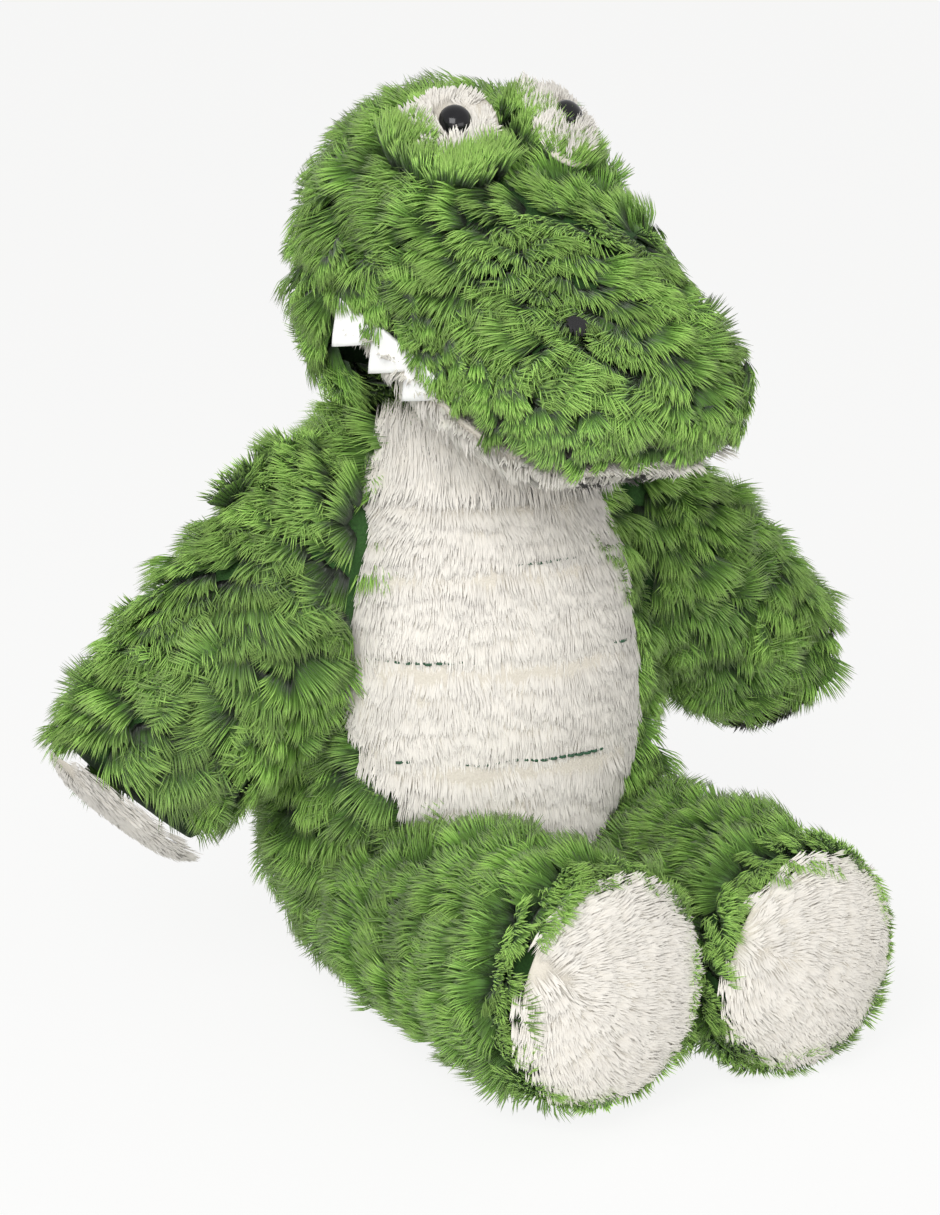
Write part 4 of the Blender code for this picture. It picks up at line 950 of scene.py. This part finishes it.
def teeth_rings(sign):
    """A strip whose upper edge is straight and whose lower edge runs down to each tip and up again. Round it
    goes a thin loop, rounded at the lower edge, and the loop is carried along the lip."""
    stations = np.linspace(0, TEETH, 16 * TEETH + 1)
    share = stations - np.minimum(stations.astype(int), TEETH - 1)
    tip = 0.5 - TOOTH_LEAN / TOOTH_WIDTH
    edge = np.where(share < tip, share / tip, (1 - share) / (1 - tip))
    drop = STRIP_DROP + (TOOTH_DROP - STRIP_DROP) * np.clip(edge, 0, 1) ** 0.92
    y = -FIRST_TOOTH - stations * TOOTH_WIDTH
    place = np.concatenate([np.linspace(0, 1, 9), np.linspace(1, 0, 9)])
    thick = np.repeat([1.0, -1.0], 9) * FELT_HALF_THICKNESS * np.sqrt(np.clip(1 - place**10, 0.04, 1))
    flare = 0.0016 * place[None] ** 2 * edge[:, None] + 0.0004 * np.sin(5 * stations)[:, None]
    out = (head_half_width(y) - 0.0002)[:, None] + thick[None] + flare
    z = STRIP_RISE - (STRIP_RISE + drop[:, None]) * place[None] + MOUTH_HEIGHT
    return on_head(xyz(sign * out, y[:, None], z))


for side, sign in SIDES:
    made = shell("felt_teeth_" + side, teeth_rings(sign), white_felt)
    stands_for(made, "head", "teeth_" + side)


# The eyes: glossy black domes on stems, pushed through a cream plush patch and locked behind the fabric
# by nylon washers. The patch's pile is longer on the side towards the snout.
EYE_RADIUS, EYE_RISE, EYE_RIM, STEM_RADIUS, STEM_LENGTH = 0.0047, 0.0038, 0.0044, 0.0016, 0.0140
EYE_SINK, EYE_HINT = 0.0003, (0.3, 1.0, 0.2)
PATCH_RADIUS, PATCH_DOME, PATCH_SINK = 0.0145, 0.0038, 0.0040
PATCH_FRONT = HEAD_TURN @ np.array((-0.64, -0.72, 0.0))
black_gloss, tree, sockets = new_material("glossy black", Specular_IOR_Level=0.30)
speck = pattern(tree, "Noise", Scale=700.0, Detail=3.0).outputs[0]
two_colours(tree, sockets, speck, (0.003, 0.003, 0.004), (0.010, 0.010, 0.012))
tree.links.new(math_node(tree, "MULTIPLY_ADD", speck, 0.08, 0.10), sockets["Roughness"])
washer_nylon, tree, sockets = new_material("washer nylon", Roughness=0.38)
speck = pattern(tree, "Noise", Scale=500.0, Detail=2.0).outputs[0]
two_colours(tree, sockets, speck, (0.80, 0.80, 0.78), (0.68, 0.68, 0.66))


def patch_form(centre, way):
    """The low dome of an eye patch, from its rim underneath to its top round the eye."""
    def form(along, around):
        angle = -0.5 + along * (0.5 + math.pi / 2)
        height = np.where(angle > 0, PATCH_DOME, PATCH_SINK) * np.sin(angle)
        return about(centre, way, around, PATCH_RADIUS * np.cos(angle), height, EYE_HINT)
    return form


def from_eye(seat, share):
    """Combing back over the head, and away from the eye by a share."""
    return lambda points: unit(points - seat) * share + HEAD_TURN @ np.array((0, 0.75, 0.65))


def patch_side(seat, part):
    """Whether points lie towards the snout from the eye, for part 1, or away from it, for part -1."""
    return lambda points: ((points - seat) @ PATCH_FRONT) * part > 0


for side, sign in SIDES:
    centre, way = on_head(EYE_PLACES[side]), HEAD_TURN @ EYE_WAYS[side]
    seat, form = centre + way * PATCH_RISE, patch_form(centre, way)
    angles = np.linspace(math.pi / 2 - 0.02, 0, 16)
    profile = np.concatenate([np.stack([EYE_RADIUS * np.cos(angles), EYE_RISE * np.sin(angles) ** 0.9], -1),
                              [(EYE_RIM, -EYE_SINK), (STEM_RADIUS, -EYE_SINK), (STEM_RADIUS, -STEM_LENGTH)]])
    turn = np.linspace(0, 2 * math.pi, 40, endpoint=False)
    rings = about(seat, way, turn, profile[:, :1], profile[:, 1:], EYE_HINT)
    stands_for(shell("eye_dome_" + side, rings, black_gloss), "head", "eye_" + side)
    backing("eye_patch_backing_" + side, "head", "eye_patch_" + side, form, 0.0006, cream_fabric,
            high=0.93, rows=14, columns=40)
    for name, part, low, length, lift, share in (("front", 1, 0.42, 0.0062, 0.95, 0.3),
                                                 ("back", -1, 0.60, 0.0045, 0.40, 0.6)):
        add_cream("eye_patch_%s_%s" % (name, side), "head", form, from_eye(seat, share), 71 + sign,
                  keep=patch_side(seat, part), spacing=0.0026, low=low, high=0.82, depth=0.0008,
                  length=length, lift=lift, end=lift - 0.3, spread=0.12, swirl=0.4, swirl_size=0.012,
                  span=0.0018, fine=26, width=0.0005, loose=0.12, curl=0.20, brush=0.2, rough=1.0, soft=0.75)
    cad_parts["eye_washer_" + side].material_slots[0].material = washer_nylon


# The nostrils: small ovals of black satin stitch, worked tightly side by side, low in the pile of the
# snout. The left one lies deeper.
NOSTRIL_LEAN, NOSTRIL_SUNK = math.radians(20), {"right": 0.0031, "left": 0.0078}
NOSTRIL_HALF_WIDTH, NOSTRIL_HALF_HEIGHT, SATIN_RADIUS, SATIN_POINTS = 0.0030, 0.0033, 0.00036, 300
nostril_thread = thread("nostril thread", 0.75, 800.0, 1.0, (0.002, 0.002, 0.002), (0.010, 0.009, 0.011))
way = HEAD_TURN @ np.array((0, -math.sin(NOSTRIL_LEAN), math.cos(NOSTRIL_LEAN)))
across = unit(np.cross(way, np.array((0.0, 1.0, 0.3))))
third = np.cross(way, across)
sweep = np.linspace(-1, 1, SATIN_POINTS)
swing = np.cos(np.linspace(0, 1, SATIN_POINTS) * math.pi * 13)
reach = NOSTRIL_HALF_HEIGHT * np.sqrt(np.clip(1 - sweep**2, 0.02, 1))
rise = 0.0010 * np.sqrt(np.clip(1 - swing**2, 0, 1)) - 0.0006
for side, _ in SIDES:
    centre = on_head(NOSTRILS[side]) - way * NOSTRIL_SUNK[side]
    path = (centre + across * (sweep * NOSTRIL_HALF_WIDTH)[:, None] + third * (swing * reach)[:, None]
            + way * rise[:, None])
    made = tube("nostril_stitches_" + side, path, SATIN_RADIUS, nostril_thread, sides=6)
    stands_for(made, "head", "nostril_" + side)


# The arms: stuffed green tubes, sewn to the flanks along flat seams, each closed by a cream palm. The pile
# is brushed round the arm and towards the hand.
ARM_LENGTHS = {"right": 0.0980, "left": 0.1020}
ARM_RADII = (0.0290, 0.0340, 0.0300, 0.010, 0.0225)
PALM_RADIUS, PALM_CROWN, SEAM_LEAN = 0.0240, 0.0045, math.radians(15)


def limb_form(root, way, length, root_radius, middle_radius, end_radius, edge, pad):
    """A limb: a ball at the root, then a radius that goes from root to end and swells in the middle by a
    half sine, then a rounded rim of the edge's size round the pad."""
    def form(along, around):
        level = -root_radius + along * (length + root_radius)
        share = np.clip(level / (length - edge), 0, 1)
        radius = (root_radius + (end_radius - root_radius) * share
                  + (middle_radius - (root_radius + end_radius) / 2) * np.sin(math.pi * share))
        ball = np.sqrt(np.clip(root_radius**2 - np.minimum(level, 0) ** 2, 1e-9, None))
        past = np.clip(level - length + edge, 0, edge) / edge
        rim = pad + (end_radius - pad) * np.sqrt(np.clip(1 - past**2, 0, 1))
        radius = np.where(level < 0, ball, np.where(level > length - edge, rim, radius))
        return about(root, way, around, radius, level)
    return form


def pad_form(root, way, length, radius, crown):
    """The domed pad in a limb's end, from its rim to its middle."""
    def form(along, around):
        angle = along * math.pi / 2
        return about(root, way, around, radius * np.cos(angle), length - 0.0006 + crown * np.sin(angle))
    return form


def add_pad(name, body, form, whorl, bias, seed):
    """A cream pad with its pile. The pile is combed away from a whorl, and a little along the bias."""
    backing(name + "_backing", body, name, form, 0.0015, cream_fabric, high=0.98, rows=16)
    add_cream(name, body, form, lambda points: unit(points - whorl) + bias, seed, low=0.12, high=0.97,
              spacing=0.0036, depth=0.0016, length=0.0068, lift=0.18, swirl=0.22, fine=34, width=0.00044,
              loose=0.08, curl=0.06, brush=0.06, soft=0.95)


def past_seam(side):
    """Whether points of an arm lie outside its seam, a plane that leans in, and not under the hand, where
    the pile of the palm shows instead."""
    out = unit(np.array((np.sign(ARM_ROOTS[side][0]), 0, math.tan(SEAM_LEAN))))

    def keep(points):
        off = points - ARM_ROOTS[side]
        level = off @ ARM_WAYS[side]
        under = (off - level[:, None] * ARM_WAYS[side])[:, 2] < -0.006
        return (off @ out > 0.001) & ~(under & (level > ARM_LENGTHS[side] - 0.024))
    return keep


def on_arm_top(points):
    """Whether points lie on the upper side of the right arm's root, beside the torso."""
    return ((points - ARM_ROOTS["right"])[:, 2] > 0.012) & (points[:, 0] < -0.046)


for side, seed in (("right", 81), ("left", 91)):
    root, way, length, body = ARM_ROOTS[side], ARM_WAYS[side], ARM_LENGTHS[side], side + " arm"
    form = limb_form(root, way, length, *ARM_RADII)
    backing("arm_%s_backing" % side, body, "arm_" + side, form, GREEN_DEPTH - ROOT_COVER, green_fabric,
            low=0.10, high=0.97)
    add_pile("arm_" + side, body, green_pile, form, combed(way * 0.8 + np.array((0, 0, -0.7))), seed,
             keep=past_seam(side), low=0.02, high=0.93, swirl=0.9, spacing=0.0072)
    if side == "right":
        add_pile("arm_top", body, green_pile, form, combed((-1.0, -0.1, 0.6)), 88, keep=on_arm_top, low=0.02,
                 high=0.45, depth=0.0030, length=0.0140, lift=0.75, end=0.35, spacing=0.0072)
    third = np.cross(unit(np.cross(way, np.array((0.0, 0.0, 1.0)))), way)
    add_pad("palm_" + side, body, pad_form(root, way, length, PALM_RADIUS, PALM_CROWN),
            root + way * length + third * 0.020, -third * 0.6, seed + 5)


# The legs: stuffed green tubes that point forward, each closed by a cream sole. The pile stands in ruffles
# round the leg and leans back to the hip, and stands up round the sole's rim.
LEG_LENGTH, SOLE_RADIUS, SOLE_CROWN = 0.100, 0.0300, 0.0070
LEG_RADII = (0.0285, 0.0350, 0.0350, 0.010, 0.0285)


def outside_seat(points):
    """Outside the torso and above the seat."""
    return (torso_share(points) > 0.74) & (points[:, 2] > 0.012)


for side, seed in (("right", 101), ("left", 111)):
    root, way, body = LEG_ROOTS[side], LEG_WAYS[side], side + " leg"
    form = limb_form(root, way, LEG_LENGTH, *LEG_RADII)
    backing("leg_%s_backing" % side, body, "leg_" + side, form, GREEN_DEPTH - ROOT_COVER, green_fabric,
            low=0.10, high=0.97)
    add_pile("leg_" + side, body, green_pile, form, combed(-way + np.array((0, 0, -0.15))), seed,
             keep=outside_seat, spacing=0.0070, low=0.12, high=0.95, length=0.0150, lift=0.66, end=0.08,
             spread=0.42, swirl=0.60)
    add_pile("rim_" + side, body, green_pile, form, combed(way + np.array((-0.5, 0, 0.6))), seed + 3,
             spacing=0.0056, low=0.885, high=0.978, length=0.0120, lift=1.05, end=0.05, swirl=0.6)
    add_pad("sole_" + side, body, pad_form(root, way, LEG_LENGTH, SOLE_RADIUS, SOLE_CROWN),
            root + way * LEG_LENGTH + np.array((-0.016, 0, 0.006)), np.array((0.9, 0, -0.5)), seed + 5)


# The tail: a short stuffed green cone, sewn to the back above the seat, with its pile combed to the tip.
# It swings from side to side.
TAIL_LENGTH, TAIL_ROOT_RADIUS, TAIL_TIP_RADIUS, TAIL_DROOP = 0.068, 0.022, 0.007, math.radians(7)
TAIL_ROOT, TAIL_WAY = np.array((0, 0.044, 0.030)), np.array((0, math.cos(TAIL_DROOP), -math.sin(TAIL_DROOP)))


def tail_form(along, around):
    """A ball at the root, then a radius that falls along a cosine to a round tip."""
    level = -TAIL_ROOT_RADIUS + along * (TAIL_LENGTH + TAIL_ROOT_RADIUS)
    cone = TAIL_LENGTH - TAIL_TIP_RADIUS
    share = np.clip(level / cone, 0, 1)
    radius = TAIL_TIP_RADIUS + (TAIL_ROOT_RADIUS - TAIL_TIP_RADIUS) * np.cos(math.pi / 2 * share) ** 1.2
    ball = np.sqrt(np.clip(TAIL_ROOT_RADIUS**2 - np.minimum(level, 0) ** 2, 1e-9, None))
    past = np.clip(level - cone, 0, TAIL_TIP_RADIUS) / TAIL_TIP_RADIUS
    tip = TAIL_TIP_RADIUS * np.sqrt(np.clip(1 - past**2, 1e-6, 1))
    radius = np.where(level < 0, ball, np.where(level > cone, tip, radius))
    return about(TAIL_ROOT, TAIL_WAY, around, radius, level)


def outside_torso(points):
    """Outside the torso's fabric."""
    return torso_share(points) > 0.66


backing("tail_backing", "tail", "tail", tail_form, 0.0050, green_fabric, low=0.10, high=0.96, rows=28,
        columns=32)
add_pile("tail", "tail", green_pile, tail_form, combed(TAIL_WAY), 121, keep=outside_torso, spacing=0.0060,
         low=0.2, high=0.985, depth=0.0060, length=0.0125, lift=0.75, end=0.2, swirl=0.5)
